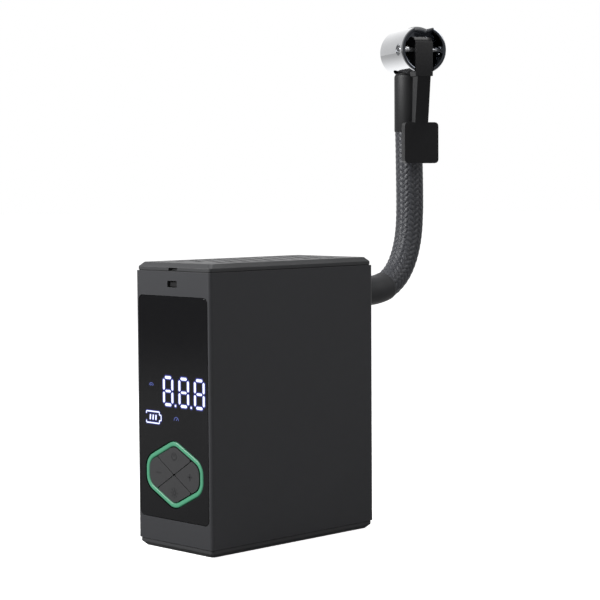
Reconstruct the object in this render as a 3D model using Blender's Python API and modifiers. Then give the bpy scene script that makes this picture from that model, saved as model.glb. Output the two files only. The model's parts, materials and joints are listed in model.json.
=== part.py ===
"""Portable tire inflator: a boxy case with a display and four keys, a piston pump, its cells,
and a short braided hose that ends in a chuck with a locking lever. Metres, +Z up. The origin is
the middle of the underside, the display faces -Y and the hose leaves the back face at +Y."""

import math

import bmesh
import bpy
from mathutils import Vector

# Clearances
GAP = 0.0003  # between pieces that touch or are fastened together
RUN = 0.0001  # radial, round a shaft that turns or a piston that slides
PAST = 0.001  # how far a cutter reaches past what it cuts, or a joined piece into its neighbour

# Case
CASE_HEIGHT = 0.1200
CASE_LENGTH = 0.0961
CASE_WIDTH = 0.0467
CASE_WALL = 0.0020
CASE_CORNER = 0.0016
CAP_RISE = 0.0035
CAP_INSET = 0.0005
CAP_CHAMFER = 0.0018
CAP_PLATE = 0.0022
SKIRT_WALL = 0.0015
TOP_SKIRT = 0.0080
BOTTOM_SKIRT = 0.0060
VENT_ACROSS = 0.0044
VENT_PITCH = 0.0072
VENT_ROWS = 5
VENT_MARGIN = 0.0100
LATCH_WIDTH = 0.0060
LATCH_HEIGHT = 0.0028
LATCH_DROP = 0.0087
LATCH_NIB = 0.0011
NOTCH_WIDTH = 0.0054
NOTCH_HEIGHT = 0.0012

# Display and keys
LENS_SIDE = 0.0020
LENS_TOP = 0.0139
LENS_BOTTOM = 0.0133
LENS_CORNER = 0.0022
LENS_THICK = 0.0010
LENS_LEDGE = 0.0012
DISPLAY_DEPTH = 0.0050
DISPLAY_HEIGHT = 0.0290
DISPLAY_MIDDLE = 0.0645
BOARD_THICK = 0.0016
PAD_MIDDLE = 0.0322
PAD_HALF_WIDTH = 0.0179
PAD_APEX = 0.0147
PAD_SHOULDER = 0.0058
PAD_CORNER = 0.0070
RING_WIDTH = 0.0021
RING_DEPTH = 0.0045
KEY_THICK = 0.0024
KEY_TRAVEL = 0.0006
KEY_SPLIT = math.radians(32)
KEY_CORNER = 0.0006
STEM_RADIUS = 0.0015
STEM_LENGTH = 0.0018
STEM_OUT = 0.0072
SWITCH_SIDE = 0.0045

# Cells
CELL_RADIUS = 0.0092
CELL_LENGTH = 0.0650
CELL_SPACE = 0.0008
CELL_SHIFT = 0.0010
HOLDER_BASE = 0.0025
HOLDER_END = 0.0020
POST_RADIUS = 0.0028
POST_HEIGHT = 0.0095
POST_INSET_Y = 0.0072
SCREW_SHANK = 0.0012
SCREW_HEAD = 0.0023
SCREW_HEAD_HIGH = 0.0010
SCREW_SINK = 0.0002
SCREW_LENGTH = 0.0080
SOCKET_WIDTH = 0.0089
SOCKET_HEIGHT = 0.0032
SOCKET_DEPTH = 0.0060
SOCKET_SINK = 0.0018
SOCKET_WALL = 0.00035
TONGUE_HALF = (0.0033, 0.00035)
CHARGE_BOARD_HALF = 0.0110
CHARGE_BOARD_DOWN = 0.0070
CHARGE_BOARD_UP = 0.0150
SOCKET_Z = 0.0200

# Pump
MODULE = 0.0006
GEAR_TEETH = 48
PINION_TEETH = 12
GEAR_THICK = 0.0040
CRANK_RADIUS = 0.0032
CRANK_PIN = 0.0015
CRANK_SHAFT = 0.0020
BEARING_RADIUS = 0.0042
BEARING_HEIGHT = 0.0085
FRAME_THICK = 0.0030
FRAME_HALF_WIDTH = 0.0180
PUMP_BELOW_HOSE = 0.0042
FRAME_BELOW_PUMP = 0.0140
BORE_RADIUS = 0.0092
CYLINDER_WALL = 0.0018
SPIGOT_WALL = 0.0014
BOSS_WALL = 0.0010
WEIGHT_RADIUS = 0.0112
CYLINDER_LENGTH = 0.0202
FLANGE_THICK = 0.0022
FLANGE_HALF = 0.0122
SENSOR_X = 0.0105
HEAD_THICK = 0.0047
HEAD_BACK = 0.0030
PISTON_LENGTH = 0.0120
PISTON_CROWN = 0.0025
PISTON_WALL = 0.0020
CROWN_SPACE = 0.0008
ROD_THICK = 0.0040
ROD_EYE = 0.0052
ROD_TIP = 0.0030
ROD_ARM_HALF = 0.0022
ROD_ARM_STEP = 0.0004
SEAL_GROOVE = (0.0022, 0.0042)
GROOVE_DEPTH = 0.0014
WEIGHT_SPAN = math.radians(200)
MOTOR_RADIUS = 0.0122
MOTOR_LENGTH = 0.0310
MOTOR_WALL = 0.0008
BELL_LIP = 0.0015
BELL_THICK = 0.0030
MAGNET_SPAN = math.radians(120)
MAGNET_LOW = 0.0045
MAGNET_DROP = 0.0040
CORE_POLES = 5
CORE_NECK = 0.0034
CORE_SHOE = 0.0016
COMMUTATOR_SPAN = (0.0034, 0.0056)
MOTOR_SHAFT = 0.00115
COMMUTATOR = 0.0030
MAGNET_THICK = 0.0021
MOUNT_RADIUS = 0.0029
SENSOR_HALF = 0.0035
SENSOR_THICK = 0.0030
SENSOR_TUBE = 0.0011
REED_RADIUS = 0.0052
REED_THICK = 0.0005
CHAMBER_RADIUS = 0.0060
CHAMBER_DEPTH = 0.0022

# Hose and chuck
HOSE_DROP = 0.0168
HOSE_RADIUS = 0.00615
SLEEVE_RADIUS = 0.00665
SLEEVE_END = 0.0340
UPPER_SLEEVE = 0.0270
FACE_RUN = 0.0010  # straight run at the face where sleeve and hose meet
GLAND_RADIUS = 0.0076
GLAND_THICK = 0.0044
NIPPLE_RADIUS = 0.0044
NIPPLE_BORE = 0.0016
BARB_RADIUS = 0.0030
BARB_LENGTH = 0.0120
CHUCK_TURN = math.radians(27)
CHUCK_RISE = 0.0099  # barrel axis above the upper sleeve
BARREL_RADIUS = 0.0109
BARREL_NEAR = -0.0198
BARREL_FAR = 0.0091
BARREL_WALL = 0.0017
NUT_RADIUS = 0.0052
NUT_SEAT = 0.0074  # seat of the nut below the barrel's axis
TAIL_RADIUS = 0.0030
TAIL_LENGTH = 0.0120
TAIL_BORE = 0.0014
SLEEVE_CHAMFER = 0.0014
BARREL_EDGE = 0.0010
SEAL_RADIUS = 0.0063
SEAL_BORE = 0.0041
SEAL_LENGTH = 0.0067
PLUNGER_RADIUS = 0.0054
PLUNGER_BACK = -0.0070
PLUNGER_TRAVEL = 0.0015
PLUNGER_NOSE = 0.0018
NOSE_RADIUS = 0.0009
LEVER_HINGE = -0.0148
LEVER_HALF = 0.0042
LEVER_CAM = 0.0075
LEVER_ARM_HALF = 0.0032
LEVER_FRONT = 0.0050  # hinge back to the lever's outer face
LEVER_STEP = 0.0120
LEVER_NECK = 0.0328
THUMB_HALF = 0.00825
THUMB_THICK = 0.0040
THUMB_HEIGHT = 0.0187
LEVER_CROWN = 0.0030
LEVER_KICK = 0.0034  # how far the arm has come forward at the thumb pad
LEVER_HEAD_BACK = 0.0012
SLOT_REACH = 0.0040
SLOT_SPACE = 0.0004
THUMB_CORNER = 0.0017
LEVER_PIN = 0.0015
PIN_SUNK = 0.0005
PIN_RECESS = 0.0027
PIN_RECESS_DEPTH = 0.0009

# The hose's middle line, behind and above the point where it leaves the back face
HOSE_ROUTE = (
    (0.0050, 0.0), (0.0120, 0.0), (0.0190, 0.0), (0.0260, 0.0003), (0.0326, 0.0017),
    (0.0377, 0.0044), (0.0422, 0.0084), (0.0458, 0.0138), (0.0484, 0.0204),
    (0.0499, 0.0278), (0.0505, 0.0368), (0.0505, 0.0468), (0.0503, 0.0568),
    (0.0501, 0.0668), (0.04995, 0.0724),
)

# Places that follow from the sizes
FRONT = -CASE_LENGTH / 2
BACK = CASE_LENGTH / 2
IN_X = CASE_WIDTH / 2 - CASE_WALL
IN_Y = CASE_LENGTH / 2 - CASE_WALL
SKIRT_X = IN_X - GAP
SKIRT_Y = IN_Y - GAP
CLEAR_X = SKIRT_X - SKIRT_WALL
CLEAR_Y = SKIRT_Y - SKIRT_WALL
TOP_SEAM = CASE_HEIGHT - CAP_RISE
LENS_BACK = FRONT + LENS_THICK
BOARD_FRONT = LENS_BACK + GAP + DISPLAY_DEPTH + GAP
BOARD_BACK = BOARD_FRONT + BOARD_THICK
BOARD_HALF = IN_X - LENS_LEDGE - 2 * GAP
BOARD_LOW = CAP_RISE + BOTTOM_SKIRT + GAP
BOARD_HIGH = TOP_SEAM - TOP_SKIRT - GAP
HOSE_Z = CASE_HEIGHT - HOSE_DROP
PUMP_Z = HOSE_Z - PUMP_BELOW_HOSE
FRAME_TOP = PUMP_Z - FRAME_BELOW_PUMP
FRAME_LOW = FRAME_TOP - FRAME_THICK
HEAD_REAR = BACK - CASE_WALL - HEAD_BACK
HEAD_FRONT = HEAD_REAR - HEAD_THICK
CYLINDER_BACK = HEAD_FRONT - GAP
CYLINDER_FRONT = CYLINDER_BACK - CYLINDER_LENGTH
WALL_BACK = CYLINDER_FRONT - GAP
WALL_FRONT = WALL_BACK - FRAME_THICK
GEAR_TIP = (GEAR_TEETH / 2 + 0.9) * MODULE
GEAR_LOW = FRAME_TOP + 0.0015
GEAR_Y = WALL_FRONT - GEAR_TIP - 0.0012
MOTOR_Y = GEAR_Y - (GEAR_TEETH + PINION_TEETH) / 2 * MODULE
MOTOR_TOP = FRAME_LOW - GAP
MOTOR_LOW = MOTOR_TOP - MOTOR_LENGTH
ROD_LOW = PUMP_Z - ROD_THICK / 2
CROWN = CYLINDER_BACK - CROWN_SPACE
PIN_Y = GEAR_Y + CRANK_RADIUS
POST_X = CLEAR_X - POST_RADIUS - GAP
POST_Y = CLEAR_Y - POST_INSET_Y
HOLDER_LOW = CAP_PLATE + GAP
CELL_X = CELL_RADIUS + CELL_SPACE / 2
CELL_Z = HOLDER_LOW + HOLDER_BASE + GAP + CELL_RADIUS
CELL_TOP_Z = CELL_Z + math.sqrt((2 * CELL_RADIUS + CELL_SPACE) ** 2 - CELL_X ** 2)
COVER_LOW = CELL_TOP_Z + CELL_RADIUS + GAP
MOUNT_X = FRAME_HALF_WIDTH - MOUNT_RADIUS - GAP
MOUNT_YS = (MOTOR_Y - 0.0105, WALL_FRONT - 0.0045)
CHUCK_Y = BACK + HOSE_ROUTE[-1][0]
SLEEVE_LOW = HOSE_Z + HOSE_ROUTE[-1][1] + GAP
CHUCK_Z = SLEEVE_LOW + UPPER_SLEEVE + CHUCK_RISE

# Finishes: base colour, roughness, metallic
FINISHES = {
    "anodised": ((0.075, 0.078, 0.085, 1), 0.42, 0.9),
    "black_plastic": ((0.030, 0.031, 0.034, 1), 0.5, 0.0),
    "gloss_black": ((0.010, 0.010, 0.012, 1), 0.12, 0.0),
    "key_grey": ((0.055, 0.057, 0.060, 1), 0.55, 0.0),
    "green_light": ((0.10, 0.55, 0.33, 1), 0.35, 0.0),
    "rubber": ((0.020, 0.020, 0.022, 1), 0.75, 0.0),
    "braid": ((0.045, 0.048, 0.055, 1), 0.7, 0.0),
    "chrome": ((0.85, 0.86, 0.88, 1), 0.12, 1.0),
    "steel": ((0.60, 0.61, 0.63, 1), 0.3, 1.0),
    "black_steel": ((0.030, 0.030, 0.032, 1), 0.35, 1.0),
    "brass": ((0.72, 0.52, 0.22, 1), 0.3, 1.0),
    "aluminium": ((0.70, 0.71, 0.73, 1), 0.38, 1.0),
    "copper": ((0.75, 0.40, 0.22, 1), 0.35, 1.0),
    "board_green": ((0.02, 0.16, 0.07, 1), 0.45, 0.0),
    "cell_wrap": ((0.04, 0.19, 0.42, 1), 0.4, 0.0),
    "white_plastic": ((0.80, 0.80, 0.78, 1), 0.5, 0.0),
    "nylon": ((0.78, 0.76, 0.68, 1), 0.5, 0.0),
    "clear_tube": ((0.75, 0.78, 0.80, 1), 0.25, 0.0),
}


def clear_scene():
    for obj in list(bpy.data.objects):
        bpy.data.objects.remove(obj, do_unlink=True)


def make_collection(name):
    made = bpy.data.collections.new(name)
    bpy.context.scene.collection.children.link(made)
    return made


def make_finish(name):
    colour, roughness, metallic = FINISHES[name]
    made = bpy.data.materials.new(name)
    made.use_nodes = True
    made.diffuse_color = colour
    shader = made.node_tree.nodes["Principled BSDF"]
    shader.inputs["Base Color"].default_value = colour
    shader.inputs["Roughness"].default_value = roughness
    shader.inputs["Metallic"].default_value = metallic
    return made


clear_scene()
PARTS = make_collection("portable_tire_inflator")
CUTTERS = make_collection("cutters")
MATERIALS = {name: make_finish(name) for name in FINISHES}


def add_object(name, mesh, finish, place=(0, 0, 0), turn=(0, 0, 0), parent=None):
    obj = bpy.data.objects.new(name, mesh)
    PARTS.objects.link(obj)
    obj.location = place
    obj.rotation_euler = turn
    obj.parent = parent
    if finish:
        mesh.materials.append(MATERIALS[finish])
    return obj


def add_empty(name, place, turn=(0, 0, 0)):
    obj = bpy.data.objects.new(name, None)
    PARTS.objects.link(obj)
    obj.empty_display_size = 0.01
    obj.location = place
    obj.rotation_euler = turn
    return obj


def mesh_from(name, shape):
    mesh = bpy.data.meshes.new(name)
    shape.to_mesh(mesh)
    shape.free()
    return mesh


def shade(obj):
    obj.data.shade_smooth()
    obj.data.set_sharp_from_angle(angle=math.radians(35))
    return obj


def bevel(obj, width, segments=2):
    made = obj.modifiers.new("edges", "BEVEL")
    made.width = width
    made.segments = segments
    made.limit_method = "ANGLE"
    made.angle_limit = math.radians(40)
    return obj


def add_cube(shape, low, high):
    low, high = Vector(low), Vector(high)
    made = bmesh.ops.create_cube(shape, size=1)["verts"]
    bmesh.ops.scale(shape, vec=high - low, verts=made)
    bmesh.ops.translate(shape, vec=(low + high) / 2, verts=made)


def box(name, finish, low, high, parent=None):
    """A box between two corners, with its origin at its middle."""
    low, high = Vector(low), Vector(high)
    shape = bmesh.new()
    add_cube(shape, (low - high) / 2, (high - low) / 2)
    return add_object(name, mesh_from(name, shape), finish, (low + high) / 2, parent=parent)


def rod(name, finish, start, end, radius, sides=20, parent=None):
    """A cylinder from one point to another."""
    start, end = Vector(start), Vector(end)
    along = end - start
    shape = bmesh.new()
    bmesh.ops.create_cone(
        shape, cap_ends=True, segments=sides, radius1=radius, radius2=radius, depth=along.length
    )
    turn = along.to_track_quat("Z", "Y").to_euler()
    made = add_object(name, mesh_from(name, shape), finish, (start + end) / 2, turn, parent)
    return shade(made)


TURN_TO = {
    "+Z": (0, 0, 0),
    "-Z": (math.pi, 0, 0),
    "+Y": (-math.pi / 2, 0, 0),
    "-Y": (math.pi / 2, 0, 0),
    "+X": (0, math.pi / 2, 0),
    "-X": (0, -math.pi / 2, 0),
}


def turned(name, finish, profile, place=(0, 0, 0), axis="+Z", sides=24, parent=None, ring=False):
    """A turned piece: (radius, height) points from the top down its outer side. A ring's
    profile closes on itself; any other starts and ends on the axis."""
    mesh = bpy.data.meshes.new(name)
    edges = [(i, i + 1) for i in range(len(profile) - 1)]
    if ring:
        edges.append((len(profile) - 1, 0))
    mesh.from_pydata([(r, 0, z) for r, z in profile], edges, [])
    obj = add_object(name, mesh, finish, place, TURN_TO[axis], parent)
    screw = obj.modifiers.new("turn", "SCREW")
    screw.steps = sides
    screw.render_steps = sides
    screw.use_merge_vertices = True
    screw.merge_threshold = 0.00001
    screw.use_smooth_shade = False
    return obj


def plate(name, finish, outlines, thick, place=(0, 0, 0), turn=(0, 0, 0), parent=None):
    """A flat piece: closed outlines, the first outside and any others its holes."""
    curve = bpy.data.curves.new(name, "CURVE")
    curve.dimensions = "2D"
    curve.fill_mode = "BOTH"
    curve.extrude = thick / 2
    for outline in outlines:
        spline = curve.splines.new("POLY")
        spline.points.add(len(outline) - 1)
        for point, (x, y) in zip(spline.points, outline):
            point.co = (x, y, 0, 1)
        spline.use_cyclic_u = True
    return as_mesh(add_curve(name, curve), finish, place, turn, parent)


def add_curve(name, curve):
    obj = bpy.data.objects.new(name + "_curve", curve)
    PARTS.objects.link(obj)
    return obj


def as_mesh(obj, finish, place, turn, parent):
    """The curve as a closed mesh, so that it can be cut."""
    bpy.context.view_layer.update()
    graph = bpy.context.evaluated_depsgraph_get()
    mesh = bpy.data.meshes.new_from_object(obj.evaluated_get(graph))
    name = obj.name.replace("_curve", "")
    bpy.data.objects.remove(obj, do_unlink=True)
    shape = bmesh.new()
    shape.from_mesh(mesh)
    bpy.data.meshes.remove(mesh)
    bmesh.ops.remove_doubles(shape, verts=shape.verts, dist=0.000002)
    bmesh.ops.recalc_face_normals(shape, faces=shape.faces)
    return add_object(name, mesh_from(name, shape), finish, place, turn, parent)


def tube(name, finish, routes, radius, resolution=2):
    """A round tube, wire or cord along each route."""
    curve = bpy.data.curves.new(name, "CURVE")
    curve.dimensions = "3D"
    curve.bevel_depth = radius
    curve.bevel_resolution = resolution
    curve.use_fill_caps = True
    for route in routes:
        spline = curve.splines.new("POLY")
        spline.points.add(len(route) - 1)
        for point, place in zip(spline.points, route):
            point.co = (*place, 1)
    return as_mesh(add_curve(name, curve), finish, (0, 0, 0), (0, 0, 0), None)


def as_tool(obj):
    PARTS.objects.unlink(obj)
    CUTTERS.objects.link(obj)
    obj.hide_render = True
    obj.display_type = "WIRE"
    return obj


def combine(obj, other, operation):
    made = obj.modifiers.new(operation.lower(), "BOOLEAN")
    made.operation = operation
    made.solver = "EXACT"
    made.object = as_tool(other)
    return obj


def cut(obj, *others):
    for other in others:
        combine(obj, other, "DIFFERENCE")
    return obj


def join(obj, *others):
    for other in others:
        combine(obj, other, "UNION")
    return obj


def circle(radius, sides, middle=(0, 0), start=0.0):
    step = 2 * math.pi / sides
    return [
        (middle[0] + radius * math.cos(start + i * step), middle[1] + radius * math.sin(start + i * step))
        for i in range(sides)
    ]


def rounded(points, radii, steps=3):
    """The outline, anticlockwise and convex, with each corner turned by an arc: radii is one
    radius for all of them, or a list with one for each."""
    out = []
    count = len(points)
    if not isinstance(radii, list):
        radii = [radii] * count
    for i, (point, radius) in enumerate(zip(points, radii)):
        here = Vector(point)
        before = (Vector(points[i - 1]) - here).normalized()
        after = (Vector(points[(i + 1) % count]) - here).normalized()
        half = before.angle(after) / 2
        middle = here + (before + after).normalized() * radius / math.sin(half)
        first = here + before * radius / math.tan(half) - middle
        sweep = math.pi - 2 * half
        for k in range(steps + 1):
            turn = sweep * k / steps
            c, s = math.cos(turn), math.sin(turn)
            out.append((middle.x + first.x * c - first.y * s, middle.y + first.x * s + first.y * c))
    return out


def rectangle(half_x, half_y, radius=0.0, steps=3):
    points = [(-half_x, -half_y), (half_x, -half_y), (half_x, half_y), (-half_x, half_y)]
    return rounded(points, radius, steps) if radius else points


def clipped(points, normal, offset):
    """The part of a convex outline where normal . point is at most offset."""
    out = []
    for i, here in enumerate(points):
        there = points[(i + 1) % len(points)]
        a = normal[0] * here[0] + normal[1] * here[1] - offset
        b = normal[0] * there[0] + normal[1] * there[1] - offset
        if a <= 0:
            out.append(here)
        if a * b < 0:
            share = a / (a - b)
            out.append((here[0] + (there[0] - here[0]) * share, here[1] + (there[1] - here[1]) * share))
    return out


def inset(points, distance):
    """A convex anticlockwise outline with each side moved in, or out where it is negative."""
    far = 0.2
    out = [(-far, -far), (far, -far), (far, far), (-far, far)]
    for i, here in enumerate(points):
        there = points[(i + 1) % len(points)]
        side = Vector((there[0] - here[0], there[1] - here[1])).normalized()
        normal = (side.y, -side.x)
        offset = normal[0] * here[0] + normal[1] * here[1] - distance
        out = clipped(out, normal, offset)
    return out


FACE_OUT = (math.pi / 2, 0, 0)  # a plate's outline X, Y stand along world X, Z


def front_plate(name, finish, outlines, near, far, height, parent=None):
    """A plate parallel to the front face between two depths, with its middle at a height."""
    place = (0, (near + far) / 2, height)
    return plate(name, finish, outlines, far - near, place, FACE_OUT, parent)


def build_case():
    length = TOP_SEAM - CAP_RISE
    outer = rectangle(CASE_WIDTH / 2, CASE_LENGTH / 2, CASE_CORNER)
    inner = rectangle(IN_X, IN_Y, CASE_CORNER / 2, 2)
    shell = plate("case_tube", "anodised", [outer, inner], length, (0, 0, (TOP_SEAM + CAP_RISE) / 2))
    lens_half = CASE_WIDTH / 2 - LENS_SIDE
    lens_low, lens_high = LENS_BOTTOM, CASE_HEIGHT - LENS_TOP
    middle = (lens_low + lens_high) / 2
    half_high = (lens_high - lens_low) / 2
    pocket = rectangle(lens_half + GAP, half_high + GAP, LENS_CORNER + GAP)
    window = rectangle(lens_half - LENS_LEDGE, half_high - LENS_LEDGE, LENS_CORNER - LENS_LEDGE)
    latch = rectangle(LATCH_WIDTH / 2, LATCH_HEIGHT / 2, LATCH_HEIGHT / 5)
    socket = rectangle(SOCKET_WIDTH / 2 + GAP, SOCKET_HEIGHT / 2 + GAP, SOCKET_HEIGHT / 2)
    cut(
        shell,
        front_plate("lens_pocket", None, [pocket], FRONT - PAST, LENS_BACK + GAP, middle),
        front_plate("lens_window", None, [window], FRONT - 2 * PAST, FRONT + CASE_WALL * 2, middle),
        front_plate("latch_window", None, [latch], FRONT - PAST, FRONT + CASE_WALL * 2,
                    CASE_HEIGHT - LATCH_DROP),
        rod("hose_hole", None, (0, BACK - CASE_WALL * 2, HOSE_Z), (0, BACK + 2 * PAST, HOSE_Z),
            NIPPLE_RADIUS + GAP),
        front_plate("socket_hole", None, [socket], BACK - CASE_WALL * 2, BACK + PAST, SOCKET_Z),
    )
    return lens_half, middle, half_high


def cap_block(name, height, tall):
    """The chamfered plate of a cap, its narrow face up."""
    half_x = CASE_WIDTH / 2 - CAP_INSET
    half_y = CASE_LENGTH / 2 - CAP_INSET
    low = tall - CAP_CHAMFER
    block = plate(name, "black_plastic", [rectangle(half_x, half_y, CASE_CORNER)], low,
                  (0, 0, height - (tall - low) / 2))
    shape = bmesh.new()
    shape.from_mesh(block.data)
    upper = [f for f in shape.faces if f.calc_center_median().z > low / 2 - 0.00001]
    raised = bmesh.ops.extrude_face_region(shape, geom=upper)["geom"]
    bmesh.ops.delete(shape, geom=upper, context="FACES_ONLY")
    verts = [v for v in raised if isinstance(v, bmesh.types.BMVert)]
    bmesh.ops.translate(shape, vec=(0, 0, CAP_CHAMFER), verts=verts)
    shrink = ((half_x - CAP_CHAMFER) / half_x, (half_y - CAP_CHAMFER) / half_y, 1)
    bmesh.ops.scale(shape, vec=shrink, verts=verts)
    shape.to_mesh(block.data)
    shape.free()
    return block


def build_caps():
    tall = CAP_RISE - GAP
    top = cap_block("top_cap", CASE_HEIGHT - tall / 2, tall)
    skirt_low = TOP_SEAM - TOP_SKIRT
    skirt = plate("top_skirt", None, [rectangle(SKIRT_X, SKIRT_Y, CASE_CORNER / 2)],
                  TOP_SEAM + PAST - skirt_low, (0, 0, (TOP_SEAM + PAST + skirt_low) / 2))
    hollow = box("top_hollow", None, (-CLEAR_X, -CLEAR_Y, skirt_low - PAST),
                 (CLEAR_X, CLEAR_Y, CASE_HEIGHT - CAP_PLATE))
    vents = bmesh.new()
    rows = [(i - (VENT_ROWS - 1) / 2) * VENT_PITCH * math.sqrt(3) / 2 for i in range(VENT_ROWS)]
    for k, across in enumerate(rows):
        count = int((CASE_LENGTH - 2 * VENT_MARGIN) / VENT_PITCH) - k % 2
        for i in range(count):
            along = (i - (count - 1) / 2) * VENT_PITCH
            made = bmesh.ops.create_cone(vents, cap_ends=True, segments=6, radius1=VENT_ACROSS / 2,
                                         radius2=VENT_ACROSS / 2, depth=0.006)["verts"]
            bmesh.ops.translate(vents, vec=(across, along, CASE_HEIGHT), verts=made)
    vent_cutter = add_object("vent_holes", mesh_from("vent_holes", vents), None)
    notch = box("pry_notch", None, (-NOTCH_WIDTH / 2, FRONT - PAST, TOP_SEAM - PAST),
                (NOTCH_WIDTH / 2, FRONT + CAP_INSET + SKIRT_WALL, TOP_SEAM + GAP + NOTCH_HEIGHT))
    nib_half = (LATCH_WIDTH / 2 - GAP, LATCH_HEIGHT / 2 - GAP)
    nib = front_plate("latch_nib", None, [rectangle(*nib_half, LATCH_HEIGHT / 6)],
                      FRONT + LATCH_NIB, FRONT + CASE_WALL + SKIRT_WALL, CASE_HEIGHT - LATCH_DROP)
    cut(join(top, skirt), hollow, vent_cutter, notch)
    join(top, nib)

    bottom = cap_block("bottom_cap", tall / 2, tall)
    bottom.rotation_euler = (math.pi, 0, 0)
    bottom.location.z = CAP_CHAMFER + (tall - CAP_CHAMFER) / 2
    skirt_high = CAP_RISE + BOTTOM_SKIRT
    skirt = plate("bottom_skirt", None, [rectangle(SKIRT_X, SKIRT_Y, CASE_CORNER / 2)],
                  skirt_high - 2 * PAST, (0, 0, skirt_high / 2 + PAST))
    hollow = box("bottom_hollow", None, (-CLEAR_X, -CLEAR_Y, CAP_PLATE),
                 (CLEAR_X, CLEAR_Y, skirt_high + PAST))
    cut(join(bottom, skirt), hollow)
    for x in (-POST_X, POST_X):
        for y in (-POST_Y, POST_Y):
            cut(
                bottom,
                rod("screw_way", None, (x, y, -PAST), (x, y, CAP_PLATE + PAST), SCREW_SHANK + GAP, 12),
                rod("screw_seat", None, (x, y, -PAST), (x, y, SCREW_SINK + SCREW_HEAD_HIGH + GAP),
                    SCREW_HEAD + GAP, 16),
            )


def build_case_screws():
    low = SCREW_SINK + SCREW_HEAD_HIGH
    profile = [(0, low + SCREW_LENGTH), (SCREW_SHANK, low + SCREW_LENGTH), (SCREW_SHANK, low),
               (SCREW_HEAD, low), (SCREW_HEAD, SCREW_SINK), (0, SCREW_SINK)]
    places = [(x, y) for x in (-POST_X, POST_X) for y in (-POST_Y, POST_Y)]
    for i, (x, y) in enumerate(places):
        turned(f"case_screw_{i + 1}", "steel", profile, (x, y, 0), sides=12)


def build_front(lens_half, middle, half_high):
    hexagon = [(0, -PAD_APEX), (PAD_HALF_WIDTH, -PAD_SHOULDER), (PAD_HALF_WIDTH, PAD_SHOULDER),
               (0, PAD_APEX), (-PAD_HALF_WIDTH, PAD_SHOULDER), (-PAD_HALF_WIDTH, -PAD_SHOULDER)]
    hole = [(x, y + PAD_MIDDLE - middle) for x, y in rounded(inset(hexagon, -GAP), PAD_CORNER + GAP, 6)]
    front_plate("display_lens", "gloss_black", [rectangle(lens_half, half_high, LENS_CORNER), hole],
                FRONT, LENS_BACK, middle)
    ring_in = inset(hexagon, RING_WIDTH)
    ring_corner = PAD_CORNER - RING_WIDTH
    front_plate("light_ring", "green_light",
                [rounded(hexagon, PAD_CORNER, 6), rounded(ring_in, ring_corner, 6)],
                FRONT, FRONT + RING_DEPTH, PAD_MIDDLE)
    pad = inset(ring_in, GAP)
    pad_corner = ring_corner - GAP
    frame_near = FRONT + KEY_THICK + KEY_TRAVEL + GAP
    stems = {
        "key_up": (0, STEM_OUT), "key_right": (STEM_OUT * 1.25, 0),
        "key_down": (0, -STEM_OUT), "key_left": (-STEM_OUT * 1.25, 0),
    }
    holes = [circle(STEM_RADIUS + GAP, 12, place) for place in stems.values()]
    front_plate("key_frame", "black_plastic", [rounded(pad, pad_corner)] + holes,
                frame_near, frame_near + 0.0008, PAD_MIDDLE)
    slope = (math.cos(KEY_SPLIT), math.sin(KEY_SPLIT))
    above = (slope[1], -slope[0])  # points with this product below zero lie above the rising line
    above_too = (-slope[1], -slope[0])
    half_gap = -GAP / 2
    cuts = {
        "key_up": ((above, half_gap), (above_too, half_gap)),
        "key_right": (((-above[0], -above[1]), half_gap), (above_too, half_gap)),
        "key_down": (((-above[0], -above[1]), half_gap), ((-above_too[0], -above_too[1]), half_gap)),
        "key_left": ((above, half_gap), ((-above_too[0], -above_too[1]), half_gap)),
    }
    for name, sides in cuts.items():
        outline = pad
        for normal, offset in sides:
            outline = clipped(outline, normal, offset)
        corners = [pad_corner if corner in pad else KEY_CORNER for corner in outline]
        key = front_plate(name, "key_grey", [rounded(outline, corners)], FRONT, FRONT + KEY_THICK,
                          PAD_MIDDLE)
        x, z = stems[name]
        z += PAD_MIDDLE
        stem_end = FRONT + KEY_THICK + STEM_LENGTH
        join(key, rod("stem", None, (x, FRONT + KEY_THICK - 0.001, z), (x, stem_end, z), STEM_RADIUS, 12))
        box(name.replace("key", "switch"), "steel",
            (x - SWITCH_SIDE / 2, stem_end + KEY_TRAVEL + RUN, z - SWITCH_SIDE / 2),
            (x + SWITCH_SIDE / 2, BOARD_FRONT - GAP, z + SWITCH_SIDE / 2))
    half = lens_half - LENS_LEDGE - GAP
    display = box("display_module", "white_plastic",
                  (-half, LENS_BACK + GAP, DISPLAY_MIDDLE - DISPLAY_HEIGHT / 2),
                  (half, LENS_BACK + GAP + DISPLAY_DEPTH, DISPLAY_MIDDLE + DISPLAY_HEIGHT / 2))
    bevel(display, 0.0004, 1)
    box("main_board", "board_green", (-BOARD_HALF, BOARD_FRONT, BOARD_LOW),
        (BOARD_HALF, BOARD_BACK, BOARD_HIGH))


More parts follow.
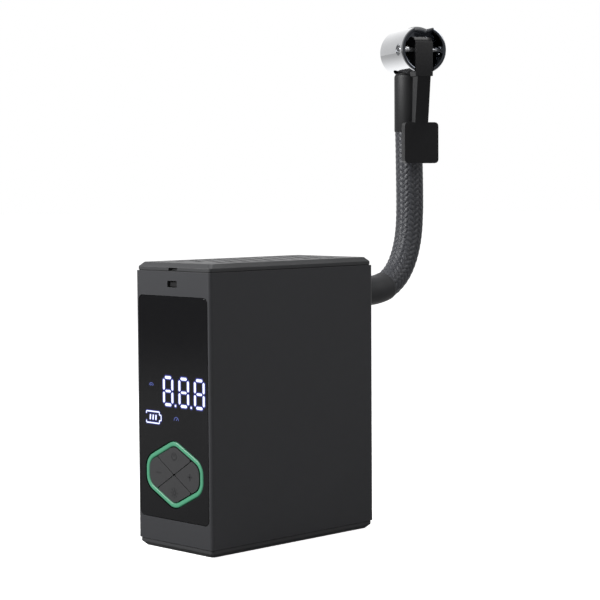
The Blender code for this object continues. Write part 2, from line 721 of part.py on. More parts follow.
def build_cells():
    front = CELL_SHIFT - CELL_LENGTH / 2
    back = CELL_SHIFT + CELL_LENGTH / 2
    places = {
        "cell_left": (-CELL_X, CELL_Z), "cell_right": (CELL_X, CELL_Z), "cell_top": (0, CELL_TOP_Z),
    }
    for name, (x, z) in places.items():
        cell = rod(name, "cell_wrap", (x, front, z), (x, back, z), CELL_RADIUS, 24)
        bevel(cell, 0.0006, 1)
    end_front = front - GAP
    end_back = back + GAP
    base_x = CLEAR_X - GAP
    base_y = (BOARD_BACK + 2 * GAP, CLEAR_Y - GAP)
    holder = box("battery_holder", "black_plastic", (-base_x, base_y[0], HOLDER_LOW),
                 (base_x, base_y[1], HOLDER_LOW + HOLDER_BASE))
    top = COVER_LOW - GAP
    for near, far in ((end_front - HOLDER_END, end_front), (end_back, end_back + HOLDER_END)):
        join(holder, box("holder_end", None, (-base_x + PAST, near, HOLDER_LOW + PAST),
                         (base_x - PAST, far, top)))
    for x in (-POST_X, POST_X):
        for y in (-POST_Y, POST_Y):
            join(holder, rod("holder_post", None, (x, y, HOLDER_LOW + 0.0002), (x, y, POST_HEIGHT),
                             POST_RADIUS, 16))
            cut(holder, rod("holder_hole", None, (x, y, HOLDER_LOW - PAST), (x, y, POST_HEIGHT + PAST),
                            SCREW_SHANK + GAP, 12))
    cover = box("battery_cover", "black_plastic", (-base_x, base_y[0] + 0.002, COVER_LOW),
                (base_x, base_y[1] - 0.001, COVER_LOW + HOLDER_BASE))
    mount_low = COVER_LOW + HOLDER_BASE - 0.0005
    for x in (-MOUNT_X, MOUNT_X):
        for y in MOUNT_YS:
            join(cover, rod("pump_post", None, (x, y, mount_low), (x, y, FRAME_LOW - GAP),
                            MOUNT_RADIUS, 12))


def build_charge_port():
    board_front = BACK - CASE_WALL - SOCKET_DEPTH + SOCKET_SINK - GAP
    box("charge_board", "board_green",
        (-CHARGE_BOARD_HALF, board_front - BOARD_THICK, SOCKET_Z - CHARGE_BOARD_DOWN),
        (CHARGE_BOARD_HALF, board_front, SOCKET_Z + CHARGE_BOARD_UP))
    near, far = board_front + GAP, board_front + GAP + SOCKET_DEPTH
    half = (SOCKET_WIDTH / 2, SOCKET_HEIGHT / 2)
    corner = half[1] - 0.0002
    shell = front_plate("charging_socket", "steel", [rectangle(*half, corner, 4)], near, far, SOCKET_Z)
    inner = [part - SOCKET_WALL for part in (*half, corner)]
    mouth = front_plate("socket_mouth", None, [rectangle(*inner, 4)], near + 0.0012, far + PAST, SOCKET_Z)
    wide, thick = TONGUE_HALF
    tongue = box("socket_tongue", None, (-wide, near + 0.0008, SOCKET_Z - thick),
                 (wide, far - 0.0008, SOCKET_Z + thick))
    join(cut(shell, mouth), tongue)


def gear_outline(teeth, turn=0.0):
    """A spur gear's teeth, with flanks narrow enough to run freely."""
    pitch = teeth * MODULE / 2
    root, tip = pitch - 1.25 * MODULE, pitch + 0.9 * MODULE
    share = 2 * math.pi / teeth
    wide, narrow = 0.29 * share, 0.115 * share
    points = []
    for i in range(teeth):
        middle = turn + i * share
        for radius, angle in ((root, -wide), (tip, -narrow), (tip, narrow), (root, wide)):
            points.append((radius * math.cos(middle + angle), radius * math.sin(middle + angle)))
    return points


def build_frame():
    """The plate that carries the motor and the crank, with a wall for the cylinder."""
    low_y = MOUNT_YS[0] - MOUNT_RADIUS - GAP
    half = FRAME_HALF_WIDTH
    outline = [(-half, low_y), (half, low_y), (half, WALL_BACK), (-half, WALL_BACK)]
    pinion_tip = (PINION_TEETH / 2 + 0.9) * MODULE
    holes = [
        circle(pinion_tip + GAP, 20, (0, MOTOR_Y)),
        circle(BEARING_RADIUS + GAP, 20, (0, GEAR_Y)),
    ]
    frame = plate("pump_frame", "aluminium", [rounded(outline, 0.002, 2)] + holes, FRAME_THICK,
                  (0, 0, (FRAME_TOP + FRAME_LOW) / 2))
    boss_top = FRAME_LOW + 0.0005
    boss_high = boss_top - FRAME_TOP + BEARING_HEIGHT
    boss = plate("bearing_boss", None,
                 [circle(BEARING_RADIUS + GAP + BOSS_WALL, 20), circle(BEARING_RADIUS + GAP, 20)],
                 boss_high, (0, GEAR_Y, boss_top - boss_high / 2))
    wall = box("cylinder_wall", None, (-FLANGE_HALF, WALL_FRONT, FRAME_LOW + 0.001),
               (FLANGE_HALF, WALL_BACK, PUMP_Z + FLANGE_HALF))
    way = rod("cylinder_way", None, (0, WALL_FRONT - PAST, PUMP_Z), (0, WALL_BACK + PAST, PUMP_Z),
              BORE_RADIUS + SPIGOT_WALL + GAP, 24)
    cut(join(frame, wall, boss), way)
    bearing = [(BEARING_RADIUS, BEARING_HEIGHT), (BEARING_RADIUS, 0), (CRANK_SHAFT + RUN, 0),
               (CRANK_SHAFT + RUN, BEARING_HEIGHT)]
    turned("crank_bearing", "brass", bearing, (0, GEAR_Y, FRAME_TOP - BEARING_HEIGHT), sides=20, ring=True)


def build_crank():
    """The gear, its shaft, its pin and its balance weight turn together about the gear's axis."""
    high = GEAR_LOW + GEAR_THICK
    weight_low, weight_high = high + GAP, ROD_LOW - 2 * GAP
    pin_hole = circle(CRANK_PIN + GAP, 12, (0, CRANK_RADIUS))
    plate("crank_gear", "nylon", [gear_outline(GEAR_TEETH), circle(CRANK_SHAFT / 2 + GAP, 12)],
          GEAR_THICK, (0, GEAR_Y, (GEAR_LOW + high) / 2))
    count = 12
    outline = [
        (WEIGHT_RADIUS * math.cos(a), WEIGHT_RADIUS * math.sin(a))
        for a in (-math.pi / 2 + WEIGHT_SPAN * (i / count - 0.5) for i in range(count + 1))
    ]
    hub = CRANK_PIN + GAP + BOSS_WALL
    outline += [
        (hub * math.cos(a), CRANK_RADIUS + hub * math.sin(a))
        for a in (math.pi * i / count for i in range(count + 1))
    ]
    plate("crank_weight", "steel", [outline, pin_hole], weight_high - weight_low,
          (0, GEAR_Y, (weight_low + weight_high) / 2))
    low = FRAME_TOP - BEARING_HEIGHT - 0.0010
    shaft = [(0, high - GAP), (CRANK_SHAFT / 2, high - GAP), (CRANK_SHAFT / 2, GEAR_LOW - GAP),
             (CRANK_SHAFT, GEAR_LOW - GAP), (CRANK_SHAFT, low), (0, low)]
    turned("crank_shaft", "steel", shaft, (0, GEAR_Y, 0), sides=20)
    top = ROD_LOW + ROD_THICK + 0.0006
    rod("crank_pin", "steel", (0, PIN_Y, weight_low), (0, PIN_Y, top), CRANK_PIN, 16)


def build_rod_and_piston():
    """The rod hangs on the crank pin. Its far end runs free inside the hollow piston."""
    tip_y = CROWN - PISTON_CROWN - 2 * CRANK_RADIUS - 2 * GAP - ROD_TIP
    low, high = ROD_LOW, ROD_LOW + ROD_THICK
    body = plate("conrod", "aluminium", [circle(ROD_EYE, 20), circle(CRANK_PIN + RUN, 16)], ROD_THICK,
                 (0, PIN_Y, PUMP_Z))
    shank = box("rod_shank", None,
                (-ROD_ARM_HALF, PIN_Y + CRANK_PIN + RUN + 0.0008, low + ROD_ARM_STEP),
                (ROD_ARM_HALF, tip_y, high - ROD_ARM_STEP))
    tip = rod("rod_tip", None, (0, tip_y, low), (0, tip_y, high), ROD_TIP, 16)
    join(body, shank, tip)
    radius = BORE_RADIUS - 3 * RUN
    groove = radius - GROOVE_DEPTH
    inner = radius - PISTON_WALL
    near, far = SEAL_GROOVE
    profile = [(0, 0), (radius, 0), (radius, -near), (groove, -near), (groove, -far),
               (radius, -far), (radius, -PISTON_LENGTH), (inner, -PISTON_LENGTH),
               (inner, -PISTON_CROWN), (0, -PISTON_CROWN)]
    turned("piston", "nylon", profile, (0, CROWN, PUMP_Z), "+Y", 28)
    seal = [(BORE_RADIUS - RUN, -near - GAP), (BORE_RADIUS - RUN, -far + GAP),
            (groove + GAP, -far + GAP), (groove + GAP, -near - GAP)]
    turned("piston_seal", "rubber", seal, (0, CROWN, PUMP_Z), "+Y", 28, ring=True)


def build_cylinder():
    outer = BORE_RADIUS + CYLINDER_WALL
    spigot = BORE_RADIUS + SPIGOT_WALL
    profile = [(outer, CYLINDER_LENGTH), (outer, FLANGE_THICK), (FLANGE_HALF, FLANGE_THICK),
               (FLANGE_HALF, 0), (spigot, 0), (spigot, -FRAME_THICK), (BORE_RADIUS, -FRAME_THICK),
               (BORE_RADIUS, CYLINDER_LENGTH)]
    turned("cylinder", "aluminium", profile, (0, CYLINDER_FRONT, PUMP_Z), "+Y", 28, ring=True)
    half = FLANGE_HALF
    middle = (HEAD_FRONT + HEAD_REAR) / 2
    head = plate("cylinder_head", "aluminium", [rectangle(half, half, 0.0025, 2)], HEAD_THICK,
                 (0, middle, PUMP_Z), FACE_OUT)
    chamber = rod("head_chamber", None, (0, HEAD_FRONT - PAST, PUMP_Z),
                  (0, HEAD_FRONT + CHAMBER_DEPTH, PUMP_Z), CHAMBER_RADIUS, 16)
    outlet = rod("head_outlet", None, (0, HEAD_FRONT + 0.0010, HOSE_Z), (0, HEAD_REAR + PAST, HOSE_Z),
                 NIPPLE_BORE, 12)
    port = rod("sensor_port", None, (half - 0.004, middle, PUMP_Z), (half + PAST, middle, PUMP_Z),
               0.0009, 12)
    cut(head, chamber, outlet, port)
    reed_front = HEAD_FRONT + GAP
    rod("outlet_reed", "steel", (0, reed_front, PUMP_Z), (0, reed_front + REED_THICK, PUMP_Z),
        REED_RADIUS, 16)


def build_motor():
    """A can motor: the can, its end bell and two magnets stand still, the rest spins."""
    wall = MOTOR_WALL
    hole = MOTOR_SHAFT + GAP
    inner = MOTOR_RADIUS - wall
    can_low = BELL_LIP + GAP - MOTOR_LENGTH
    can = [(MOTOR_RADIUS, 0), (MOTOR_RADIUS, can_low), (inner, can_low), (inner, -wall), (hole, -wall),
           (hole, 0)]
    turned("motor_can", "steel", can, (0, MOTOR_Y, MOTOR_TOP), sides=28, ring=True)
    bell = [(inner - GAP, BELL_THICK), (inner - GAP, BELL_LIP), (MOTOR_RADIUS, BELL_LIP),
            (MOTOR_RADIUS, 0), (hole, 0), (hole, BELL_THICK)]
    turned("motor_endbell", "nylon", bell, (0, MOTOR_Y, MOTOR_LOW), sides=28, ring=True)
    magnet_out = inner - GAP
    magnet_in = magnet_out - MAGNET_THICK
    low, high = MOTOR_LOW + MAGNET_LOW, MOTOR_TOP - MAGNET_DROP
    for name, middle in (("magnet_left", math.pi), ("magnet_right", 0)):
        angles = [middle + MAGNET_SPAN * (i / 8 - 0.5) for i in range(9)]
        outline = [(magnet_out * math.cos(a), magnet_out * math.sin(a)) for a in angles]
        outline += [(magnet_in * math.cos(a), magnet_in * math.sin(a)) for a in reversed(angles)]
        plate(name, "steel", [outline], high - low, (0, MOTOR_Y, (low + high) / 2))
    core_radius = magnet_in - 2 * GAP
    slot = math.pi / CORE_POLES
    # one pole: its neck, then its shoe, as (radius, share of half a pole)
    pole = ((CORE_NECK, -0.98), (core_radius - CORE_SHOE, -0.45), (core_radius, -0.82),
            (core_radius, -0.3), (core_radius, 0.3), (core_radius, 0.82), (core_radius - CORE_SHOE, 0.45))
    core = []
    for i in range(CORE_POLES):
        for radius, share in pole:
            angle = (2 * i + share) * slot
            core.append((radius * math.cos(angle), radius * math.sin(angle)))
    plate("rotor_core", "copper", [core, circle(hole, 12)], high - low - 0.003,
          (0, MOTOR_Y, (low + high) / 2))
    top = GEAR_LOW + GEAR_THICK
    collar_low, collar_high = (MOTOR_LOW + part for part in COMMUTATOR_SPAN)
    shaft = [(0, top), (MOTOR_SHAFT, top), (MOTOR_SHAFT, collar_high), (COMMUTATOR, collar_high),
             (COMMUTATOR, collar_low), (MOTOR_SHAFT, collar_low), (MOTOR_SHAFT, MOTOR_LOW + GAP),
             (0, MOTOR_LOW + GAP)]
    turned("rotor_shaft", "steel", shaft, (0, MOTOR_Y, 0), sides=16)
    pinion = gear_outline(PINION_TEETH, math.pi / PINION_TEETH)
    plate("pinion", "brass", [pinion, circle(hole, 12)], GEAR_THICK, (0, MOTOR_Y, (GEAR_LOW + top) / 2))


def build_sensor():
    middle = (HEAD_FRONT + HEAD_REAR) / 2
    near = BOARD_BACK + GAP
    far = near + SENSOR_THICK
    box("pressure_sensor", "gloss_black", (SENSOR_X - SENSOR_HALF, near, PUMP_Z - SENSOR_HALF),
        (SENSOR_X + SENSOR_HALF, far, PUMP_Z + SENSOR_HALF))
    start = far + GAP
    wall_x = IN_X - 0.0032  # the tube runs beside the case wall, past the gear
    steps = 5
    run_start, run_end = start + 0.028, middle - 0.008
    route = [(SENSOR_X, start), (SENSOR_X, start + 0.006), (SENSOR_X + 0.0008, start + 0.012),
             (SENSOR_X + 0.0020, start + 0.020)]
    route += [(wall_x, run_start + (run_end - run_start) * i / steps) for i in range(steps + 1)]
    route += [(wall_x - 0.0006, middle - 0.0035), (wall_x - 0.0022, middle - 0.0008),
              (FLANGE_HALF + GAP, middle)]
    tube("sensor_tube", "clear_tube", [smooth([(x, y, PUMP_Z) for x, y in route], 2)], SENSOR_TUBE)


def smooth(points, share):
    """Points on a smooth curve through the given ones, with a number of steps between each pair."""
    points = [Vector(p) for p in points]
    ends = [2 * points[0] - points[1]] + points + [2 * points[-1] - points[-2]]
    out = []
    for i in range(1, len(ends) - 2):
        a, b, c, d = ends[i - 1], ends[i], ends[i + 1], ends[i + 2]
        for k in range(share):
            t = k / share
            out.append(0.5 * (2 * b + (c - a) * t + (2 * a - 5 * b + 4 * c - d) * t ** 2
                              + (3 * b - a - 3 * c + d) * t ** 3))
    out.append(points[-1])
    return out


def build_hose():
    """The nipple and gland in the back wall, the two sleeves, and the braided hose between them."""
    inside = BACK - CASE_WALL
    flange = HEAD_BACK - 2 * GAP
    wide = NIPPLE_RADIUS + 0.0006
    start = inside - GAP - flange
    stem_end = BACK + HOSE_ROUTE[0][0] - GAP
    barb_end = BACK + HOSE_ROUTE[0][0] + BARB_LENGTH
    nipple = [(BARB_RADIUS, barb_end - start), (BARB_RADIUS, stem_end - start),
              (NIPPLE_RADIUS, stem_end - start), (NIPPLE_RADIUS, flange), (wide, flange), (wide, 0),
              (NIPPLE_BORE, 0), (NIPPLE_BORE, barb_end - start)]
    turned("hose_nipple", "brass", nipple, (0, start, HOSE_Z), "+Y", 20, ring=True)
    gland = [(GLAND_RADIUS, GLAND_THICK - 0.0008), (GLAND_RADIUS, 0), (NIPPLE_RADIUS + GAP, 0),
             (NIPPLE_RADIUS + GAP, GLAND_THICK), (GLAND_RADIUS - 0.0008, GLAND_THICK)]
    turned("gland_nut", "black_plastic", gland, (0, BACK + GAP, HOSE_Z), "+Y", 24, ring=True)
    route = smooth([(0, BACK + behind, HOSE_Z + above) for behind, above in HOSE_ROUTE], 2)
    parted = [i for i, p in enumerate(route) if p.y <= BACK + SLEEVE_END - GAP][-1]
    meeting = route[parted]
    along = (route[parted + 1] - route[parted - 1]).normalized()
    lower = route[:parted] + [meeting - along * FACE_RUN, meeting]
    upper = [meeting + along * GAP, meeting + along * (GAP + FACE_RUN)] + route[parted + 1:]
    sleeve = tube("hose_sleeve_lower", "rubber", [lower], SLEEVE_RADIUS, 3)
    cut(sleeve, rod("barb_way", None, (0, lower[0].y - PAST, HOSE_Z), (0, barb_end + GAP, HOSE_Z),
                    BARB_RADIUS + GAP, 16))
    tube("hose", "braid", [upper], HOSE_RADIUS, 3)


def build_chuck():
    """The chuck's own frame: X runs to the valve end, Y across, Z up, origin over the hose."""
    chuck = add_empty("chuck_frame", (0, CHUCK_Y, CHUCK_Z), (0, 0, math.pi - CHUCK_TURN))
    sleeve_top = -CHUCK_RISE
    low = sleeve_top - UPPER_SLEEVE
    chamfer = SLEEVE_CHAMFER
    sleeve = [(0, sleeve_top), (SLEEVE_RADIUS - chamfer, sleeve_top),
              (SLEEVE_RADIUS - 0.3 * chamfer, sleeve_top - 0.3 * chamfer),
              (SLEEVE_RADIUS, sleeve_top - chamfer), (SLEEVE_RADIUS, low), (0, low)]
    upper = turned("hose_sleeve_upper", "rubber", sleeve, parent=chuck, sides=24)
    tail_low = sleeve_top - TAIL_LENGTH
    tail_hole = TAIL_RADIUS + GAP
    cut(upper, rod("tail_way", None, (0, 0, tail_low - GAP), (0, 0, sleeve_top + PAST), tail_hole, 16,
                   chuck))
    plate("swivel_nut", "black_steel", [circle(NUT_RADIUS, 6), circle(tail_hole, 16)],
          -NUT_SEAT - GAP - (sleeve_top + GAP), (0, 0, (-NUT_SEAT + sleeve_top) / 2), parent=chuck)
    tail_high = -SEAL_RADIUS - 2 * GAP
    tail_ring = [(TAIL_RADIUS, tail_high), (TAIL_RADIUS, tail_low), (TAIL_BORE, tail_low),
                 (TAIL_BORE, tail_high)]
    turned("hose_tail", "brass", tail_ring, parent=chuck, sides=16, ring=True)

    near, far, r = BARREL_NEAR, BARREL_FAR, BARREL_RADIUS
    recess = r - BARREL_WALL
    guide = PLUNGER_RADIUS + GAP
    seal_end = GAP + SEAL_LENGTH + GAP
    mouth = SEAL_BORE + 0.0010
    edge = BARREL_EDGE
    guide_end = PLUNGER_BACK - 2 * GAP
    profile = [(r - edge, far), (r - edge * 0.3, far - edge * 0.3), (r, far - edge), (r, near + GAP),
               (r - GAP, near), (recess, near), (recess, guide_end), (guide, guide_end),
               (guide, 0), (SEAL_RADIUS + GAP, 0), (SEAL_RADIUS + GAP, seal_end), (mouth, seal_end),
               (mouth, far)]
    barrel = turned("chuck_barrel", "chrome", profile, (0, 0, 0), "+X", 32, chuck, ring=True)
    beyond = r + 2 * PAST
    slot_half = LEVER_HALF + SLOT_SPACE
    slot = box("lever_slot", None, (near - PAST, -slot_half, -beyond),
               (LEVER_HINGE + SLOT_REACH, slot_half, beyond), chuck)
    seat = rod("nut_seat", None, (0, 0, -beyond), (0, 0, -NUT_SEAT), SLEEVE_RADIUS + GAP, 20, chuck)
    way = rod("tail_port", None, (0, 0, -NUT_SEAT - PAST), (0, 0, -guide + 2 * PAST), tail_hole, 16, chuck)
    floor = r - PIN_RECESS_DEPTH
    hole = LEVER_PIN + GAP
    pin_profile = [(0, beyond), (PIN_RECESS, beyond), (PIN_RECESS, floor), (hole, floor),
                   (hole, -floor), (PIN_RECESS, -floor), (PIN_RECESS, -beyond), (0, -beyond)]
    pin_way = turned("pin_way", None, pin_profile, (LEVER_HINGE, 0, 0), "+Y", 16, chuck)
    cut(barrel, slot, seat, way, pin_way)
    pin_half = r - PIN_SUNK
    rod("lever_pin", "steel", (LEVER_HINGE, -pin_half, 0), (LEVER_HINGE, pin_half, 0), LEVER_PIN, 16, chuck)
    seal = [(SEAL_RADIUS, SEAL_LENGTH), (SEAL_RADIUS, 0), (SEAL_BORE, 0), (SEAL_BORE, SEAL_LENGTH)]
    turned("chuck_seal", "rubber", seal, (GAP, 0, 0), "+X", 24, chuck, ring=True)
    nose = PLUNGER_NOSE
    plunger = [(0, nose), (NOSE_RADIUS - 0.0002, nose), (NOSE_RADIUS, nose - 0.0004),
               (NOSE_RADIUS, -GAP), (PLUNGER_RADIUS, -GAP), (PLUNGER_RADIUS, PLUNGER_BACK),
               (0, PLUNGER_BACK)]
    turned("seal_plunger", "brass", plunger, (0, 0, 0), "+X", 24, chuck)
    build_lever(chuck)


def build_lever(chuck):
    """The lever hangs on its pin. Its head is a cam that bears on the plunger."""
    hinge = Vector((LEVER_HINGE, 0, 0))
    front = -LEVER_FRONT
    steps = 8
    cam = [(LEVER_CAM * math.cos(a), LEVER_CAM * math.sin(a)) for a in map(math.radians, (-42, -21))]
    for i in range(steps + 1):
        angle = math.pi / 2 * i / steps
        radius = LEVER_CAM - PLUNGER_TRAVEL * i / steps
        cam.append((radius * math.cos(angle), radius * math.sin(angle)))
    top = LEVER_CAM - PLUNGER_TRAVEL
    head = [(front, -LEVER_STEP), (LEVER_HEAD_BACK, -LEVER_STEP)] + cam
    head += [(front + 0.0020, top - 0.0006), (front, top - LEVER_CROWN)]
    lever = side_plate("lever", "black_plastic", head, LEVER_HALF, hinge, chuck)
    neck = front + LEVER_KICK
    thumb_back = neck + THUMB_THICK
    arm = [(front, -LEVER_STEP + 0.0006), (neck, -LEVER_NECK - 0.0010),
           (thumb_back, -LEVER_NECK - 0.0010), (0.0010, -LEVER_STEP + 0.0006)]
    arm_piece = side_plate("lever_arm", None, arm, LEVER_ARM_HALF, hinge, chuck)
    middle = -LEVER_NECK - THUMB_HEIGHT / 2
    thumb = plate("thumb_pad", None, [rectangle(THUMB_HALF, THUMB_HEIGHT / 2, THUMB_CORNER)],
                  THUMB_THICK, hinge + Vector((neck + THUMB_THICK / 2, 0, middle)),
                  (math.pi / 2, 0, math.pi / 2), chuck)
    eye_half = LEVER_HALF + PAST
    eye = rod("lever_eye", None, (LEVER_HINGE, -eye_half, 0), (LEVER_HINGE, eye_half, 0), LEVER_PIN + RUN,
              16, chuck)
    cut(join(lever, arm_piece, thumb), eye)


def side_plate(name, finish, outline, half, place, parent):
    """A plate across the chuck: its outline lies in the chuck's X and Z."""
    return plate(name, finish, [outline], 2 * half, place, FACE_OUT, parent)


def main():
    lens = build_case()
    build_caps()
    build_case_screws()
    build_front(*lens)
    build_cells()
    build_charge_port()
    build_frame()
    build_crank()
    build_rod_and_piston()
    build_cylinder()
    build_motor()
    build_sensor()
    build_hose()
    build_chuck()


main()
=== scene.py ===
import json
import math

import bmesh
import bpy
from mathutils import Matrix, Vector


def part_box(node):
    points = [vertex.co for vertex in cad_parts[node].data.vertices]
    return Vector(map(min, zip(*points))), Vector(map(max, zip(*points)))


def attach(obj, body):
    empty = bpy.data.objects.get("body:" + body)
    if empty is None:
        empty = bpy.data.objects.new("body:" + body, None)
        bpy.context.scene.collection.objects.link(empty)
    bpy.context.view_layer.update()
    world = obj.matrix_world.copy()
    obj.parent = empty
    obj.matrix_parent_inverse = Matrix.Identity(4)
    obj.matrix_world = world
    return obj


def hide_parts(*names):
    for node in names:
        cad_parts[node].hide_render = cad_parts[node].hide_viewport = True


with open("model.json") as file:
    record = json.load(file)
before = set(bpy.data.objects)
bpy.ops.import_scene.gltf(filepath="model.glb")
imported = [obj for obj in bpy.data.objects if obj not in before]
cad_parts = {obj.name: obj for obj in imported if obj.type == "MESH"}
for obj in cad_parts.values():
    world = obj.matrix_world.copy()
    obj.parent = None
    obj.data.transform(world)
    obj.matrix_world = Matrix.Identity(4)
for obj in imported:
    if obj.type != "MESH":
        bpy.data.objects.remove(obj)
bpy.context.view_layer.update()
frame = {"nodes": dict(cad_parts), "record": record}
scene = bpy.context.scene
print("frame loaded")

# camera: where it stands, what it looks at, and its small roll in degrees
cameraFacts = {"lens": 110.33, "place": (0.57357, -0.54285, 0.15172), "aim": (0.04213, -0.01571, 0.10489),
               "roll": -0.368}


def addCamera(facts):
    data = bpy.data.cameras.new("camera")
    data.lens = facts["lens"]
    data.clip_start = 0.02
    data.clip_end = 60
    camera = bpy.data.objects.new("camera", data)
    scene.collection.objects.link(camera)
    look = (Vector(facts["aim"]) - Vector(facts["place"])).to_track_quat("-Z", "Y")
    roll = Matrix.Rotation(math.radians(facts["roll"]), 4, "Z")
    camera.matrix_world = Matrix.Translation(facts["place"]) @ look.to_matrix().to_4x4() @ roll
    scene.camera = camera


addCamera(cameraFacts)
scene.view_settings.view_transform = "Standard"
print("camera placed")


# shader helpers
def wire(tree, source, target):
    tree.links.new(source, target)


def addNode(tree, kind, place, **settings):
    node = tree.nodes.new(kind)
    node.location = place
    for name, value in settings.items():
        setattr(node, name, value)
    return node


def setInputs(node, **values):
    for name, value in values.items():
        node.inputs[name.replace("_", " ")].default_value = value
    return node


def newGroup(name, inputs, outputs):
    group = bpy.data.node_groups.new(name, "ShaderNodeTree")
    for label, value in inputs.items():
        socket = group.interface.new_socket(label, in_out="INPUT", socket_type="NodeSocketFloat")
        socket.default_value = value
    for label in outputs:
        group.interface.new_socket(label, in_out="OUTPUT", socket_type="NodeSocketFloat")
    return group, addNode(group, "NodeGroupInput", (-900, 0)), addNode(group, "NodeGroupOutput", (500, 0))


def grainGroup():
    # fine moulded or blasted grain as a height, and a slow patchy mask
    group, entry, leave = newGroup("surfaceGrain", {"Fineness": 2500, "Patch Size": 45},
                                   ["Height", "Patches"])
    coords = addNode(group, "ShaderNodeTexCoord", (-900, -200))
    fine = setInputs(addNode(group, "ShaderNodeTexNoise", (-500, 150)), Detail=3, Roughness=0.6)
    slow = setInputs(addNode(group, "ShaderNodeTexNoise", (-500, -200)), Detail=4)
    spread = setInputs(addNode(group, "ShaderNodeMapRange", (-200, -200)), From_Min=0.35, From_Max=0.65)
    for texture, size in ((fine, "Fineness"), (slow, "Patch Size")):
        wire(group, coords.outputs["Object"], texture.inputs["Vector"])
        wire(group, entry.outputs[size], texture.inputs["Scale"])
    wire(group, slow.outputs["Fac"], spread.inputs["Value"])
    wire(group, fine.outputs["Fac"], leave.inputs["Height"])
    wire(group, spread.outputs["Result"], leave.inputs["Patches"])
    return group


def rubGroup():
    # a mask that is bright along outside edges and broken up by noise
    group, entry, leave = newGroup("edgeRub", {"Reach": 0.0006, "Amount": 0.5}, ["Mask"])
    rounded = addNode(group, "ShaderNodeBevel", (-700, 100), samples=4)
    plain = addNode(group, "ShaderNodeNewGeometry", (-700, -100))
    dot = addNode(group, "ShaderNodeVectorMath", (-500, 0), operation="DOT_PRODUCT")
    turned = setInputs(addNode(group, "ShaderNodeMapRange", (-300, 0)), From_Min=0.995, From_Max=0.9)
    coords = addNode(group, "ShaderNodeTexCoord", (-700, -300))
    noise = setInputs(addNode(group, "ShaderNodeTexNoise", (-500, -300)), Scale=260, Detail=5)
    broken = addNode(group, "ShaderNodeMath", (-100, -100), operation="MULTIPLY")
    scaled = addNode(group, "ShaderNodeMath", (150, 0), operation="MULTIPLY")
    wire(group, entry.outputs["Reach"], rounded.inputs["Radius"])
    wire(group, rounded.outputs["Normal"], dot.inputs[0])
    wire(group, plain.outputs["Normal"], dot.inputs[1])
    wire(group, dot.outputs["Value"], turned.inputs["Value"])
    wire(group, coords.outputs["Object"], noise.inputs["Vector"])
    wire(group, turned.outputs["Result"], broken.inputs[0])
    wire(group, noise.outputs["Fac"], broken.inputs[1])
    wire(group, broken.outputs["Value"], scaled.inputs[0])
    wire(group, entry.outputs["Amount"], scaled.inputs[1])
    wire(group, scaled.outputs["Value"], leave.inputs["Mask"])
    return group


surfaceGrain = grainGroup()
edgeRub = rubGroup()


def placeGroup(tree, group, place, **values):
    return setInputs(addNode(tree, "ShaderNodeGroup", place, node_tree=group), **values)


def mixColours(tree, place, mask, low, high):
    # low and high are colours, or the sockets that give them
    mix = addNode(tree, "ShaderNodeMix", place, data_type="RGBA")
    first, second = [socket for socket in mix.inputs if socket.type == "RGBA"]
    for socket, colour in ((first, low), (second, high)):
        if isinstance(colour, bpy.types.NodeSocket):
            wire(tree, colour, socket)
        else:
            socket.default_value = (*colour, 1)
    wire(tree, mask, mix.inputs["Factor"])
    return [socket for socket in mix.outputs if socket.type == "RGBA"][0]


def newMaterial(name):
    material = bpy.data.materials.new(name)
    material.use_nodes = True
    return material, material.node_tree, material.node_tree.nodes["Principled BSDF"]


def finish(name, colour, roughness, patchTint=0.85, spread=0.05, fineness=2500, patch=45, bump=0.15,
           depth=0.00002, rub=0.0, rubColour=(0.3, 0.3, 0.3), reach=0.0006, **fixed):
    # grain as bump, patchy colour and roughness, and rubbed edges where rub is over 0
    material, tree, shader = newMaterial(name)
    grain = placeGroup(tree, surfaceGrain, (-900, 0), Fineness=fineness, Patch_Size=patch)
    patches = grain.outputs["Patches"]
    tinted = mixColours(tree, (-600, 200), patches, colour, [part * patchTint for part in colour])
    if rub:
        worn = placeGroup(tree, edgeRub, (-900, 300), Reach=reach, Amount=rub)
        tinted = mixColours(tree, (-350, 250), worn.outputs["Mask"], tinted, rubColour)
    rough = setInputs(addNode(tree, "ShaderNodeMapRange", (-600, -100)), To_Min=roughness - spread,
                      To_Max=roughness + spread)
    raised = setInputs(addNode(tree, "ShaderNodeBump", (-300, -300)), Strength=bump, Distance=depth)
    wire(tree, tinted, shader.inputs["Base Color"])
    wire(tree, patches, rough.inputs["Value"])
    wire(tree, rough.outputs["Result"], shader.inputs["Roughness"])
    wire(tree, grain.outputs["Height"], raised.inputs["Height"])
    wire(tree, raised.outputs["Normal"], shader.inputs["Normal"])
    setInputs(shader, **fixed)
    return material


# finishes of the case, the front and the small parts
caseAnodised = finish("caseAnodised", (0.056, 0.057, 0.062), 0.46, patchTint=0.92, fineness=4200, patch=18,
                      bump=0.12, rub=0.5, rubColour=(0.20, 0.20, 0.21), reach=0.0004, Metallic=0.25)
capPlastic = finish("capPlastic", (0.050, 0.051, 0.054), 0.5, fineness=3000, bump=0.3, rub=0.35,
                    rubColour=(0.12, 0.12, 0.12))
# near-black inner plastic: the inside parts' own colour, and also painted shade on the latch behind the top
# cap's window
innerPlasticAndLatchShade = finish("innerPlasticAndLatchShade", (0.012, 0.012, 0.013), 0.6, fineness=2600, bump=0.3,
                      Specular_IOR_Level=0.3)
lensSmoked = finish("lensSmoked", (0.006, 0.006, 0.007), 0.16, patchTint=0.9, spread=0.03, patch=30,
                    bump=0.02, rub=0.3, rubColour=(0.03, 0.03, 0.03), reach=0.0003,
                    Coat_Weight=0.2, Coat_Roughness=0.05, Specular_IOR_Level=0.35)
keyRubber = finish("keyRubber", (0.040, 0.040, 0.042), 0.6, patchTint=0.9, fineness=3600, bump=0.35,
                   rub=0.3, rubColour=(0.09, 0.09, 0.09), reach=0.0003)
